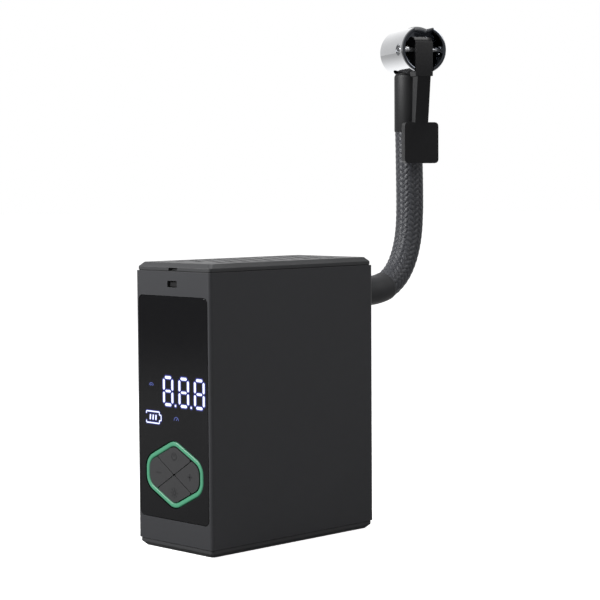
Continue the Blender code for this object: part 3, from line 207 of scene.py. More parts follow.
keyMark = finish("keyMark", (0.024, 0.024, 0.026), 0.5, patchTint=0.9, bump=0.1)
softRubber = finish("softRubber", (0.013, 0.0133, 0.0145), 0.55, fineness=2200, patch=60, bump=0.4,
                    rub=0.3, rubColour=(0.05, 0.05, 0.05), Specular_IOR_Level=0.4)
# painted light: a lighter copy of the upper sleeve's rubber, for the lower sleeve, which lies in the case's
# shade
sleeveRubberPaintedLight = finish("sleeveRubberPaintedLight", (0.046, 0.0465, 0.050), 0.55, fineness=2200, patch=60, bump=0.4,
                      rub=0.3, rubColour=(0.10, 0.10, 0.10), Specular_IOR_Level=0.4)
leverPlastic = finish("leverPlastic", (0.012, 0.012, 0.0135), 0.36, fineness=3200, bump=0.25, rub=0.4,
                      rubColour=(0.045, 0.045, 0.05), Specular_IOR_Level=0.35)
glandPlastic = finish("glandPlastic", (0.050, 0.051, 0.054), 0.5, fineness=2600, bump=0.3, rub=0.3,
                      rubColour=(0.09, 0.09, 0.09))
chromePlate = finish("chromePlate", (0.80, 0.81, 0.83), 0.09, patchTint=0.97, spread=0.03, fineness=900,
                     patch=120, bump=0.03, Metallic=1.0)
blackSteel = finish("blackSteel", (0.035, 0.036, 0.040), 0.34, rub=0.7, rubColour=(0.25, 0.25, 0.26),
                    Metallic=0.9)
brightSteel = finish("brightSteel", (0.58, 0.59, 0.61), 0.26, spread=0.07, fineness=1500, bump=0.1,
                     Metallic=1.0)
darkSteel = finish("darkSteel", (0.20, 0.20, 0.21), 0.4, rub=0.4, rubColour=(0.45, 0.45, 0.46),
                   Metallic=1.0)
turnedBrass = finish("turnedBrass", (0.70, 0.50, 0.21), 0.27, spread=0.07, patchTint=0.8, Metallic=1.0)
castAluminium = finish("castAluminium", (0.62, 0.63, 0.65), 0.44, fineness=1400, bump=0.4, Metallic=1.0)
copperWire = finish("copperWire", (0.62, 0.27, 0.12), 0.33, patchTint=0.6, fineness=1800, bump=0.6,
                    Metallic=1.0)
gearNylon = finish("gearNylon", (0.72, 0.69, 0.60), 0.48, patchTint=0.93, bump=0.1, Subsurface_Weight=0.1)
clearTubing = finish("clearTubing", (0.70, 0.74, 0.76), 0.2, bump=0.02, Subsurface_Weight=0.2)
cellWrap = finish("cellWrap", (0.03, 0.16, 0.36), 0.3, patchTint=0.9, fineness=500, bump=0.08,
                  Coat_Weight=0.3)
boardMask = finish("boardMask", (0.015, 0.12, 0.05), 0.35, patchTint=0.55, patch=380, fineness=1200,
                   bump=0.5, Coat_Weight=0.3)
displayWhite = finish("displayWhite", (0.70, 0.70, 0.68), 0.5, bump=0.1)
sealRubber = finish("sealRubber", (0.014, 0.014, 0.015), 0.5, bump=0.2)


def paintBoreShade(material):
    # painted shade: the mesh's own attribute marks the bore and the end face, which are coloured dark grey
    # in place of the shade and dark reflection inside the barrel
    tree = material.node_tree
    shader = tree.nodes["Principled BSDF"]
    inside = addNode(tree, "ShaderNodeAttribute", (-600, 600), attribute_name="inside").outputs["Fac"]
    plated = shader.inputs["Base Color"].links[0].from_socket
    # painted shade: dark grey wherever the attribute marks the inside
    mixed = mixColours(tree, (-200, 450), inside, plated, (0.13, 0.14, 0.16))
    wire(tree, mixed, shader.inputs["Base Color"])


paintBoreShade(chromePlate)


def lightGuide(name, colour, strength):
    # translucent plastic lit from behind, a little uneven along its length
    material = finish(name, [part * 0.35 for part in colour], 0.4, patchTint=0.95, patch=90, bump=0.1)
    tree = material.node_tree
    shader = tree.nodes["Principled BSDF"]
    noise = setInputs(addNode(tree, "ShaderNodeTexNoise", (-600, -500)), Scale=120, Detail=2)
    coords = addNode(tree, "ShaderNodeTexCoord", (-900, -500))
    glow = mixColours(tree, (-300, -500), noise.outputs["Fac"], [part * 0.8 for part in colour], colour)
    wire(tree, coords.outputs["Object"], noise.inputs["Vector"])
    wire(tree, glow, shader.inputs["Emission Color"])
    # brightest where it faces straight out of the front: the glow itself is real, and its fall towards the
    # sides is a painted highlight on the face and painted shade on the rounded sides
    facing = addNode(tree, "ShaderNodeVectorMath", (-600, -800), operation="DOT_PRODUCT")
    facing.inputs[1].default_value = (0, -1, 0)
    paintedFacingGlow = setInputs(addNode(tree, "ShaderNodeMapRange", (-300, -800)), From_Min=0.4,
                     To_Min=strength * 0.12, To_Max=strength)
    wire(tree, coords.outputs["Normal"], facing.inputs[0])
    wire(tree, facing.outputs["Value"], paintedFacingGlow.inputs["Value"])
    wire(tree, paintedFacingGlow.outputs["Result"], shader.inputs["Emission Strength"])
    return material


ringGreen = lightGuide("ringGreen", (0.10, 0.42, 0.24), 0.62)
digitWhite = lightGuide("digitWhite", (0.80, 0.86, 1.0), 1.25)
markBlue = lightGuide("markBlue", (0.10, 0.13, 0.42), 0.6)


def haloBlue():
    # blue light that fades from a segment's edge into the dark lens
    material, tree, shader = newMaterial("haloBlue")
    glow = addNode(tree, "ShaderNodeAttribute", (-900, 0), attribute_name="glow")
    falling = addNode(tree, "ShaderNodeMath", (-650, 0), operation="POWER")
    falling.inputs[1].default_value = 1.6
    wire(tree, glow.outputs["Fac"], falling.inputs[0])
    lit = mixColours(tree, (-350, 0), falling.outputs["Value"], (0.0, 0.0, 0.0), (0.10, 0.11, 0.62))
    wire(tree, lit, shader.inputs["Emission Color"])
    setInputs(shader, Base_Color=(0.009, 0.009, 0.010, 1), Roughness=0.16, Emission_Strength=0.8)
    return material


segmentHalo = haloBlue()


def braidMaterial():
    # yarns run both ways round the hose: the map's U and V count the two families of yarn
    material, tree, shader = newMaterial("braidYarn")
    yarnMap = addNode(tree, "ShaderNodeUVMap", (-1200, 0), uv_map="yarns")
    parts = addNode(tree, "ShaderNodeSeparateXYZ", (-1000, 0))
    wire(tree, yarnMap.outputs["UV"], parts.inputs[0])
    onTop = addNode(tree, "ShaderNodeAttribute", (-1000, 300), attribute_name="onTop")
    depth = addNode(tree, "ShaderNodeAttribute", (-1000, 500), attribute_name="depth")
    across = addNode(tree, "ShaderNodeMix", (-750, 0), data_type="FLOAT")
    wire(tree, onTop.outputs["Fac"], across.inputs["Factor"])
    wire(tree, parts.outputs["X"], across.inputs["A"])
    wire(tree, parts.outputs["Y"], across.inputs["B"])
    threads = addNode(tree, "ShaderNodeMath", (-550, 0), operation="MULTIPLY")
    threads.inputs[1].default_value = 2 * math.pi * 5
    ripple = addNode(tree, "ShaderNodeMath", (-350, 0), operation="SINE")
    wire(tree, across.outputs["Result"], threads.inputs[0])
    wire(tree, threads.outputs["Value"], ripple.inputs[0])
    raised = setInputs(addNode(tree, "ShaderNodeBump", (-100, -200)), Strength=0.5, Distance=0.00004)
    wire(tree, ripple.outputs["Value"], raised.inputs["Height"])
    wire(tree, raised.outputs["Normal"], shader.inputs["Normal"])
    # painted shade: the yarn colour falls to near black where the braid surface is low, at each yarn's edges
    # and where it dips under the other family
    paintedGapShade = addNode(tree, "ShaderNodeMath", (-550, 300), operation="POWER")
    paintedGapShade.inputs[1].default_value = 1.8
    wire(tree, depth.outputs["Fac"], paintedGapShade.inputs[0])
    yarn = mixColours(tree, (-300, 300), paintedGapShade.outputs["Value"], (0.003, 0.003, 0.004),
                      (0.054, 0.056, 0.065))
    wire(tree, yarn, shader.inputs["Base Color"])
    setInputs(shader, Roughness=0.42, Specular_IOR_Level=0.6)
    return material


braidYarn = braidMaterial()
print("materials made")


# mesh helpers
def smoothed(mesh, sharpDegrees=32):
    mesh.shade_smooth()
    mesh.set_sharp_from_angle(angle=math.radians(sharpDegrees))


def keepPiece(name, shape, material, body, stands=(), place=None, sharpDegrees=32):
    mesh = bpy.data.meshes.new(name)
    if place is not None:
        bmesh.ops.transform(shape, matrix=place, verts=shape.verts)
    shape.to_mesh(mesh)
    shape.free()
    mesh.materials.append(material)
    smoothed(mesh, sharpDegrees)
    piece = bpy.data.objects.new(name, mesh)
    scene.collection.objects.link(piece)
    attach(piece, body)
    if stands:
        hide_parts(*stands)
    return piece


def settleNormals(piece):
    weighted = piece.modifiers.new("evenShading", "WEIGHTED_NORMAL")
    weighted.keep_sharp = True
    return piece


def roundEdges(shape, width, segments=2, sharpDegrees=30):
    limit = math.radians(sharpDegrees)
    edges = [edge for edge in shape.edges if edge.is_manifold and edge.calc_face_angle() > limit]
    bmesh.ops.bevel(shape, geom=edges, offset=width, affect="EDGES", segments=segments, profile=0.5,
                    material=-1, clamp_overlap=True)


def mergedCopy(node):
    # a CAD node's mesh with its loose triangles merged and its flat faces whole
    shape = bmesh.new()
    shape.from_mesh(frame["nodes"][node].data)
    bmesh.ops.remove_doubles(shape, verts=shape.verts, dist=0.000008)
    bmesh.ops.dissolve_limit(shape, angle_limit=math.radians(1.5), verts=shape.verts, edges=shape.edges)
    bmesh.ops.connect_verts_concave(shape, faces=shape.faces)
    return shape


bodyOf = {node: body for body, nodes in frame["record"]["behaviour"]["bodies"].items() for node in nodes}


def refine(name, node, material, width, segments=2, sharpDegrees=30):
    shape = mergedCopy(node)
    if width:
        roundEdges(shape, width, segments, sharpDegrees)
    return settleNormals(keepPiece(name, shape, material, bodyOf[node], [node]))


def turnedShape(profile, steps, closed=False):
    # a profile of (radius, height) points turned about Z
    shape = bmesh.new()
    points = [shape.verts.new((radius, 0, height)) for radius, height in profile]
    for first, second in zip(points, points[1:]):
        shape.edges.new((first, second))
    if closed:
        shape.edges.new((points[-1], points[0]))
    bmesh.ops.spin(shape, geom=shape.verts[:] + shape.edges[:], cent=(0, 0, 0), axis=(0, 0, 1),
                   dvec=(0, 0, 0), angle=2 * math.pi, steps=steps, use_merge=True, use_duplicate=False)
    bmesh.ops.remove_doubles(shape, verts=shape.verts, dist=0.000002)
    bmesh.ops.recalc_face_normals(shape, faces=shape.faces)
    return shape


def block(shape, low, high):
    low, high = Vector(low), Vector(high)
    made = bmesh.ops.create_cube(shape, size=1)["verts"]
    bmesh.ops.scale(shape, vec=high - low, verts=made)
    bmesh.ops.translate(shape, vec=(low + high) / 2, verts=made)
    return made


def carve(piece, cutters):
    # cut the shapes in cutters away from a piece, for good
    tools = []
    for number, shape in enumerate(cutters):
        mesh = bpy.data.meshes.new(f"cutter{number}")
        bmesh.ops.recalc_face_normals(shape, faces=shape.faces)
        shape.to_mesh(mesh)
        shape.free()
        tool = bpy.data.objects.new(mesh.name, mesh)
        scene.collection.objects.link(tool)
        step = piece.modifiers.new(mesh.name, "BOOLEAN")
        step.operation = "DIFFERENCE"
        step.solver = "EXACT"
        step.object = tool
        tools.append(tool)
    bpy.context.view_layer.update()
    graph = bpy.context.evaluated_depsgraph_get()
    result = bpy.data.meshes.new_from_object(piece.evaluated_get(graph))
    piece.modifiers.clear()
    piece.data = result
    for tool in tools:
        bpy.data.objects.remove(tool)
    return piece


# case: the drawn tube with its window, latch hole, hose hole and charging slot
caseFacts = {"corner": 0.0016, "wall": 0.0020, "edge": 0.00022, "lensGap": 0.0003, "lensCorner": 0.0022,
             "lensDepth": 0.0010, "ledge": 0.0012, "latchHalf": (0.0030, 0.0014), "latchMiddle": 0.1113,
             "latchCorner": 0.00056, "socketCorner": 0.0017, "hoseHole": 0.0047}


def roundedPrism(low, high, corner, axis, steps=6):
    # a block whose four edges along one axis are rounded
    shape = bmesh.new()
    block(shape, low, high)
    edges = [edge for edge in shape.edges
             if abs((edge.verts[0].co - edge.verts[1].co).normalized()[axis]) > 0.9]
    bmesh.ops.bevel(shape, geom=edges, offset=corner, affect="EDGES", segments=steps, profile=0.5,
                    material=-1)
    return shape


def buildCase(facts):
    low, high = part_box("case_tube")
    corner, wall = facts["corner"], facts["wall"]
    piece = keepPiece("caseShell", roundedPrism(low, high, corner, 2), caseAnodised, "case",
                      ["case_tube"])
    beyond = Vector((0, 0, 0.002))
    inside = Vector((wall, wall, 0))
    bore = roundedPrism(low + inside - beyond, high - inside + beyond, corner / 2, 2)
    lensLow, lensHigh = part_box("display_lens")
    gap = facts["lensGap"]
    front = low.y
    pocket = roundedPrism((lensLow.x - gap, front - 0.001, lensLow.z - gap),
                          (lensHigh.x + gap, front + facts["lensDepth"] + gap, lensHigh.z + gap),
                          facts["lensCorner"] + gap, 1)
    ledge = facts["ledge"]
    window = roundedPrism((lensLow.x + ledge, front - 0.001, lensLow.z + ledge),
                          (lensHigh.x - ledge, front + 2 * wall, lensHigh.z - ledge),
                          facts["lensCorner"] - ledge, 1)
    latchHalf, latchMiddle = facts["latchHalf"], facts["latchMiddle"]
    latch = roundedPrism((-latchHalf[0], front - 0.001, latchMiddle - latchHalf[1]),
                         (latchHalf[0], front + 2 * wall, latchMiddle + latchHalf[1]),
                         facts["latchCorner"], 1)
    socketLow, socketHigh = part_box("charging_socket")
    socket = roundedPrism((socketLow.x - gap, high.y - 2 * wall, socketLow.z - gap),
                          (socketHigh.x + gap, high.y + 0.001, socketHigh.z + gap),
                          facts["socketCorner"], 1)
    hoseZ = sum(corner.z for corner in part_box("hose_nipple")) / 2
    hoseHole = bmesh.new()
    place = Matrix.Translation((0, high.y, hoseZ)) @ Matrix.Rotation(math.pi / 2, 4, "X")
    bmesh.ops.create_cone(hoseHole, cap_ends=True, segments=32, radius1=facts["hoseHole"],
                          radius2=facts["hoseHole"], depth=0.010, matrix=place)
    carve(piece, [bore, pocket, window, latch, socket, hoseHole])
    shape = bmesh.new()
    shape.from_mesh(piece.data)
    bmesh.ops.remove_doubles(shape, verts=shape.verts, dist=0.000004)
    roundEdges(shape, facts["edge"], 2, 40)
    shape.to_mesh(piece.data)
    shape.free()
    smoothed(piece.data)
    settleNormals(piece)


def buildCaps(facts):
    # painted shade: the latch faces behind the window get the near-black inner plastic, in place of the
    # shade in the window's recess
    topCap = refine("topCap", "top_cap", capPlastic, 0.00018)
    topCap.data.materials.append(innerPlasticAndLatchShade)
    halfWide, halfTall = facts["latchHalf"]
    for face in topCap.data.polygons:
        sideways, upwards = abs(face.center.x), abs(face.center.z - facts["latchMiddle"])
        face.material_index = int(sideways < halfWide and upwards < halfTall)
    refine("bottomCap", "bottom_cap", capPlastic, 0.00018)


seamFacts = {"thick": 0.0003, "setBack": 0.0007, "inner": 0.0022, "corner": 0.0016}


def buildSeamShadeStrip(name, start, facts):
    # a thin near-black strip between a cap and the tube, set back from the faces: painted shade that fills
    # the seam's gap
    tubeLow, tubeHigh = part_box("case_tube")
    setBack = Vector((facts["setBack"], facts["setBack"], 0))
    inner = Vector((facts["inner"], facts["inner"], 0))
    bottom = Vector((tubeLow.x, tubeLow.y, start))
    top = Vector((tubeHigh.x, tubeHigh.y, start + facts["thick"]))
    beyond = Vector((0, 0, 0.001))
    strip = roundedPrism(bottom + setBack, top - setBack, facts["corner"], 2)
    hollow = roundedPrism(bottom + inner - beyond, top - inner + beyond, facts["corner"] / 2, 2)
    piece = keepPiece(name, strip, softRubber, "case")
    carve(piece, [hollow])
    smoothed(piece.data)


buildCase(caseFacts)
buildCaps(caseFacts)
# painted shade: dark strips in the seams above and below the tube
buildSeamShadeStrip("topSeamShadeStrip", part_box("case_tube")[1].z, seamFacts)
buildSeamShadeStrip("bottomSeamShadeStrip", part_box("case_tube")[0].z - seamFacts["thick"], seamFacts)
print("case made")

# the front: lens, lit ring, keys and their marks
refine("displayLens", "display_lens", lensSmoked, 0.00012)
refine("lightRing", "light_ring", ringGreen, 0.0008, segments=5, sharpDegrees=50)
for side in ("up", "right", "down", "left"):
    refine(side + "Key", "key_" + side, keyRubber, 0.00022)

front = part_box("display_lens")[0].y


def bar(shape, start, end, width, tip=0.0, lift=0.00002):
    # a thin flat bar on the front face between two (x, z) points; tip cuts its ends to a point
    start, end = Vector(start), Vector(end)
    along = end - start
    made = block(shape, (-along.length / 2, -lift, -width / 2), (along.length / 2, lift, width / 2))
    if tip:
        ends = [edge for vert in made for edge in vert.link_edges
                if abs((edge.verts[0].co - edge.verts[1].co).normalized().y) > 0.9]
        cutEdges = bmesh.ops.bevel(shape, geom=list(set(ends)), offset=tip, affect="EDGES", segments=1,
                                   profile=0.5, material=-1)
        cornerVerts = {vert for face in cutEdges["faces"] for vert in face.verts}
        made = list(cornerVerts | {vert for vert in made if vert.is_valid})
    middle = (start + end) / 2
    turn = Matrix.Rotation(-math.atan2(along.y, along.x), 4, "Y")
    bmesh.ops.transform(shape, matrix=Matrix.Translation((middle.x, front, middle.y)) @ turn, verts=made)


# three digits of seven segments, in metres on the front face
digitFacts = {"lefts": (-0.0064, 0.0034, 0.0130), "low": 0.0606, "high": 0.0731, "width": 0.0065,
              "stroke": 0.00118, "gap": 0.00022, "dots": (0.0014, 0.0112), "dotSize": 0.0009,
              "halo": 0.00065}


def digitBars(facts):
    # every lit segment as (start, end, width, tip)
    stroke, gap = facts["stroke"], facts["gap"]
    low, high = facts["low"] + stroke / 2, facts["high"] - stroke / 2
    middle = (low + high) / 2
    inner, slim = stroke * 0.42 + gap, stroke * 0.75
    below, above = middle - gap - stroke * 0.15, middle + gap + stroke * 0.15
    tip = stroke * 0.38
    bars = []
    for left in facts["lefts"]:
        first, last = left + stroke / 2, left + facts["width"] - stroke / 2
        for height in (low, high):
            bars.append(((first + inner, height), (last - inner, height), stroke, tip))
        bars.append(((first + slim, middle), (last - slim, middle), stroke * 0.8, stroke * 0.36))
        for across in (first, last):
            bars.append(((across, low + inner), (across, below), stroke, tip))
            bars.append(((across, above), (across, high - inner), stroke, tip))
    half = facts["dotSize"] / 2
    dotHeight = facts["low"] + half
    for across in facts["dots"]:
        bars.append(((across - half, dotHeight), (across + half, dotHeight), facts["dotSize"], half * 0.4))
    return bars


batteryFacts = {"left": -0.0172, "right": -0.0089, "tip": -0.0078, "low": 0.0528, "high": 0.0576,
                "stroke": 0.0005, "cells": (-0.0147, -0.0129, -0.0111), "cellSize": (0.0008, 0.0022)}


def batteryBars(facts):
    low, high, left, right, tip = (facts[name] for name in ("low", "high", "left", "right", "tip"))
    stroke = facts["stroke"]
    middle = (low + high) / 2
    nub, gap = (high - low) * 0.24, (high - low) * 0.2
    corners = [(left, low + gap), (left, low), (right, low), (right, middle - nub), (tip, middle - nub),
               (tip, middle + nub), (right, middle + nub), (right, high), (left, high), (left, high - gap)]
    outline = list(zip(corners, corners[1:]))
    bars = [(start, end, stroke, stroke * 0.2) for start, end in outline]
    wide, tall = facts["cellSize"]
    for across in facts["cells"]:
        start, end = (across - wide * 0.15, middle - tall / 2), (across + wide * 0.15, middle + tall / 2)
        bars.append((start, end, wide, wide * 0.3))
    return bars


def buildLit(name, bars, material, lift=0.00004):
    shape = bmesh.new()
    for start, end, width, tip in bars:
        bar(shape, start, end, width, tip, lift)
    return keepPiece(name, shape, material, "case")


def buildHalo(name, bars, spread):
    # a wider plate under each bar, bright at the bar's edge and dark at its own
    shape = bmesh.new()
    glow = shape.verts.layers.float.new("glow")
    for start, end, width, tip in bars:
        start, end = Vector(start), Vector(end)
        along = (end - start).normalized() * spread
        before = set(shape.faces)
        bar(shape, start - along, end + along, width + 2 * spread, tip + spread * 0.5, 0.00001)
        faces = [face for face in shape.faces if face not in before and face.normal.y < -0.9]
        bmesh.ops.inset_individual(shape, faces=faces, thickness=spread * 0.9)
        for face in faces:
            for vert in face.verts:
                vert[glow] = 1
    bmesh.ops.delete(shape, geom=[face for face in shape.faces if face.normal.y > -0.9], context="FACES")
    return keepPiece(name, shape, segmentHalo, "case")


digits = digitBars(digitFacts)
battery = batteryBars(batteryFacts)
buildLit("digitSegments", digits, digitWhite)
buildHalo("digitHalo", digits, digitFacts["halo"])
buildLit("batteryMark", battery, digitWhite)
buildHalo("batteryHalo", battery, digitFacts["halo"] * 0.7)


def strokes(points, width):
    # bars joining (x, z) points one after another
    return [(start, end, width, width * 0.2) for start, end in zip(points, points[1:])]


def arc(middle, radius, start, end, steps=10):
    # points along a circle, between two angles in degrees
    turns = [math.radians(start + (end - start) * number / steps) for number in range(steps + 1)]
    return [(middle[0] + radius * math.cos(turn), middle[1] + radius * math.sin(turn)) for turn in turns]


markFacts = {"fine": 0.0004, "fan": (-0.0138, 0.0681), "gauge": (0.0018, 0.0549), "pad": 0.0322,
             "keyStroke": 0.00055, "upDown": 0.0076, "leftRight": 0.0098, "size": 0.0015}


def frontMarks(facts):
    fine = facts["fine"]
    fan, gauge = Vector(facts["fan"]), Vector(facts["gauge"])
    fanBars = strokes(arc(fan, 0.0015, 20, 160), fine) + strokes(arc(fan, 0.0008, 20, 160, 6), fine)
    needle = [gauge, gauge + Vector((0.0007, 0.0009))]
    gaugeBars = strokes(arc(gauge, 0.0014, 0, 180), fine) + strokes(needle, fine)
    buildLit("fanMark", fanBars, markBlue)
    buildLit("gaugeMark", gaugeBars, markBlue)


def keyMarks(facts):
    # power on the top key, more and less on the side ones, a lamp on the bottom one
    size, width, pad = facts["size"], facts["keyStroke"], facts["pad"]
    top, bottom = Vector((0, pad + facts["upDown"])), Vector((0, pad - facts["upDown"]))
    right, left = Vector((facts["leftRight"], pad)), Vector((-facts["leftRight"], pad))
    upright, flat = Vector((0, size)), Vector((size, 0))
    rays = []
    for number in range(8):
        turn = math.radians(45 * number)
        outward = Vector((math.cos(turn), math.sin(turn))) * size
        rays += strokes([bottom + outward, bottom + outward * 1.5], width)
    marks = {
        "up": strokes(arc(top, size, 120, 420, 14), width) + strokes([top, top + upright * 1.3], width),
        "right": strokes([right - flat, right + flat], width)
                 + strokes([right - upright, right + upright], width),
        "left": strokes([left - flat, left + flat], width),
        "down": strokes(arc(bottom, size * 0.6, 0, 360, 12), width) + rays,
    }
    for side, bars in marks.items():
        shape = bmesh.new()
        for start, end, wide, tip in bars:
            bar(shape, start, end, wide, tip, 0.00005)
        keepPiece(side + "KeyMark", shape, keyMark, side + "_key")


frontMarks(markFacts)
keyMarks(markFacts)
print("front made")


# hose: its middle line is a curve through these (y, z) points in the plane x = 0
hoseFacts = {"diameter": 0.0123, "yarns": 16, "yarnAngle": 0.93, "weave": 0.00016, "crown": 0.00034,
             "around": 192, "step": 0.00034, "tuckIn": 0.0015, "sleeveReach": 0.0336,
             "route": ((0.05305, 0.1032), (0.06005, 0.1032), (0.06705, 0.1032), (0.07405, 0.1035),
                       (0.08065, 0.1049), (0.08575, 0.1076), (0.09025, 0.1116), (0.09385, 0.1170),
                       (0.09645, 0.1236), (0.09795, 0.1310), (0.09855, 0.1400), (0.09855, 0.1500),
                       (0.09835, 0.1600), (0.09815, 0.1700), (0.0980, 0.1756))}


def curveThrough(points, steps):
    # a smooth curve through the points, with a number of steps between each two
    ends = [2 * points[0] - points[1]] + list(points) + [2 * points[-1] - points[-2]]
    out = []
    for a, b, c, d in zip(ends, ends[1:], ends[2:], ends[3:]):
        for number in range(steps):
            t = number / steps
            out.append((2 * b + (c - a) * t + (2 * a - 5 * b + 4 * c - d) * t ** 2
                        + (3 * b - a - 3 * c + d) * t ** 3) / 2)
    return out + [points[-1]]


def evenlySpaced(points, step):
    # points at equal distances along a line of points
    lengths = [0.0]
    for first, second in zip(points, points[1:]):
        lengths.append(lengths[-1] + (second - first).length)
    count = max(2, round(lengths[-1] / step))
    out = []
    here = 0
    for number in range(count + 1):
        want = lengths[-1] * number / count
        while here < len(lengths) - 2 and lengths[here + 1] < want:
            here += 1
        share = (want - lengths[here]) / (lengths[here + 1] - lengths[here])
        out.append(points[here].lerp(points[here + 1], share))
    return out


def lineLength(points):
    return sum((second - first).length for first, second in zip(points, points[1:]))


def hoseLine(facts):
    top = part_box("hose_sleeve_upper")[1].z
    points = [Vector((0, y, z)) for y, z in facts["route"]]
    line = curveThrough(points, 12)
    return line + [Vector((0, line[-1].y, top - facts["tuckIn"]))]


def rollTube(shape, line, radiusAt):
    # roll a flat grid round a line that stays in the plane x = 0; radiusAt gets the turn and the distance
    rings = len(line) - 1
    around = hoseFacts["around"]
    length = lineLength(line)
    grid = bmesh.ops.create_grid(shape, x_segments=around, y_segments=rings, size=0.5)["verts"]
    for vert in grid:
        share, row = vert.co.x + 0.5, round((vert.co.y + 0.5) * rings)
        ahead = line[min(row + 1, rings)] - line[max(row - 1, 0)]
        across = Vector((1, 0, 0))
        outward = across.cross(ahead.normalized())
        turn = 2 * math.pi * share
        radius = radiusAt(vert, share, length * row / rings)
        vert.co = line[row] + (across * math.cos(turn) + outward * math.sin(turn)) * radius
    return grid


def closeTube(shape):
    bmesh.ops.remove_doubles(shape, verts=shape.verts, dist=0.000002)
    bmesh.ops.holes_fill(shape, edges=[edge for edge in shape.edges if edge.is_boundary], sides=0)
    bmesh.ops.recalc_face_normals(shape, faces=shape.faces)


def buildHose(facts):
    # a regular braid: each yarn passes over two of the other family, then under two
    line = evenlySpaced(hoseLine(facts), facts["step"])
    length = lineLength(line)
    radius = facts["diameter"] / 2
    pitch = facts["yarns"] / (2 * math.pi * radius) * facts["yarnAngle"]
    shape = bmesh.new()
    yarnMap = shape.loops.layers.uv.new("yarns")
    onTop = shape.verts.layers.float.new("onTop")
    depth = shape.verts.layers.float.new("depth")
    counts = {}

    def yarnHeight(position, other, sign):
        number = math.floor(position)
        across = 2 * (position - number) - 1
        crown = facts["crown"] * math.sqrt(max(0.0, 1 - across * across)) - facts["crown"]
        wave = math.sin(math.pi / 2 * (other + number))
        return crown + sign * facts["weave"] * wave * math.sqrt(2)

    def radiusAt(vert, share, distance):
        first = facts["yarns"] * share + pitch * distance
        second = facts["yarns"] * share - pitch * distance
        heights = (yarnHeight(first, second, 1), yarnHeight(second, first, -1))
        height = max(heights)
        vert[onTop] = 0.0 if heights[0] > heights[1] else 1.0
        # depth is one on a yarn's crown and nought at its edges and low crossings; the braid colour uses it
        # for painted shade
        vert[depth] = min(1.0, max(0.0, 1 + height / (facts["crown"] * 0.9)))
        counts[vert] = (first, second)
        return radius + height

    rollTube(shape, line, radiusAt)
    for face in shape.faces:
        for loop in face.loops:
            loop[yarnMap].uv = counts[loop.vert]
    closeTube(shape)
    piece = keepPiece("braidedHose", shape, braidYarn, "case", ["hose"], sharpDegrees=75)
    return piece, line, length


braidedHose, hosePath, hoseLength = buildHose(hoseFacts)
print("hose braided, length", round(hoseLength, 4))


lowerSleeveFacts = {"radius": 0.00665, "ribs": (0.0035, 0.0125), "ribStep": 0.0018, "ribDepth": 0.00022,
                    "ending": 0.0012, "endDrop": 0.0004}


def buildLowerSleeve(facts):
    # the moulded sleeve over the hose's root, ribbed near the gland and rounded at its end
    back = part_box("case_tube")[1].y
    full = curveThrough([Vector((0, y, z)) for y, z in hoseFacts["route"]], 12)
    line = [point for point in evenlySpaced(full, 0.0006) if point.y < back + hoseFacts["sleeveReach"]]
    length = lineLength(line)
    first, last = facts["ribs"]

    def radiusAt(vert, share, distance):
        radius = facts["radius"]
        left = (length - distance) / facts["ending"]
        if left < 1:
            radius -= facts["endDrop"] * (1 - math.sqrt(max(0.0, 1 - (1 - left) ** 2)))
        if first < distance < last and distance % facts["ribStep"] < facts["ribStep"] / 2:
            radius -= facts["ribDepth"]
        return radius

    shape = bmesh.new()
    rollTube(shape, line, radiusAt)
    closeTube(shape)
    # painted light: the lower sleeve gets the lighter copy of the sleeve rubber
    return keepPiece("lowerSleeve", shape, sleeveRubberPaintedLight, "case", ["hose_sleeve_lower"],
                     sharpDegrees=50)


lowerSleeve = buildLowerSleeve(lowerSleeveFacts)


# gland: a turned collar with one groove, in the plane of the back wall
def buildGland():
    low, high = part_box("gland_nut")
    radius = (high.x - low.x) / 2
    thick = high.y - low.y
    middle = (low + high) / 2
    bore = 0.0047
    waist = radius - 0.0005
    profile = [(bore, 0), (radius - 0.0003, 0), (radius, 0.0003), (radius, thick * 0.30),
               (waist, thick * 0.36), (waist, thick * 0.44), (radius, thick * 0.50),
               (radius, thick - 0.0008), (radius - 0.0008, thick), (bore, thick)]
    shape = turnedShape(profile, 64, closed=True)
    place = Matrix.Translation((middle.x, low.y, middle.z)) @ Matrix.Rotation(-math.pi / 2, 4, "X")
    return keepPiece("glandNut", shape, glandPlastic, "case", ["gland_nut"], place)


glandNut = buildGland()

# chuck: its own frame has X towards the valve end, Y across and Z up, over the hose's end
chuckFacts = {"turn": 27, "radius": 0.0109, "near": -0.0198, "far": 0.0091, "wall": 0.0017, "hinge": -0.0148,
              "plungerBack": -0.0076, "guide": 0.0057, "seal": 0.0066, "sealEnd": 0.0073, "mouth": 0.0051,
              "nutSeat": 0.0074, "seatRadius": 0.00695, "slotHalf": 0.0046, "slotReach": 0.0040,
              "pinHole": 0.0018, "pinRecess": 0.0027, "recessDepth": 0.0009, "rim": 0.0009, "port": 0.0033}
barrelLow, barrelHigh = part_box("chuck_barrel")
chuckPlace = Matrix.Translation((0, hosePath[-1].y, (barrelLow.z + barrelHigh.z) / 2)) @ Matrix.Rotation(
    math.radians(180 - chuckFacts["turn"]), 4, "Z")
alongX = Matrix.Rotation(math.pi / 2, 4, "Y")


def cone(shape, radius, start, end, axis, steps=48):
    # a cylinder between two distances along the chuck's X, Y or Z
    turns = {"X": Matrix.Rotation(math.pi / 2, 4, "Y"), "Y": Matrix.Rotation(-math.pi / 2, 4, "X"),
             "Z": Matrix()}
    middle = Matrix.Translation((0, 0, (start + end) / 2))
    return bmesh.ops.create_cone(shape, cap_ends=True, segments=steps, radius1=radius, radius2=radius,
                                 depth=end - start, matrix=turns[axis] @ middle)["verts"]


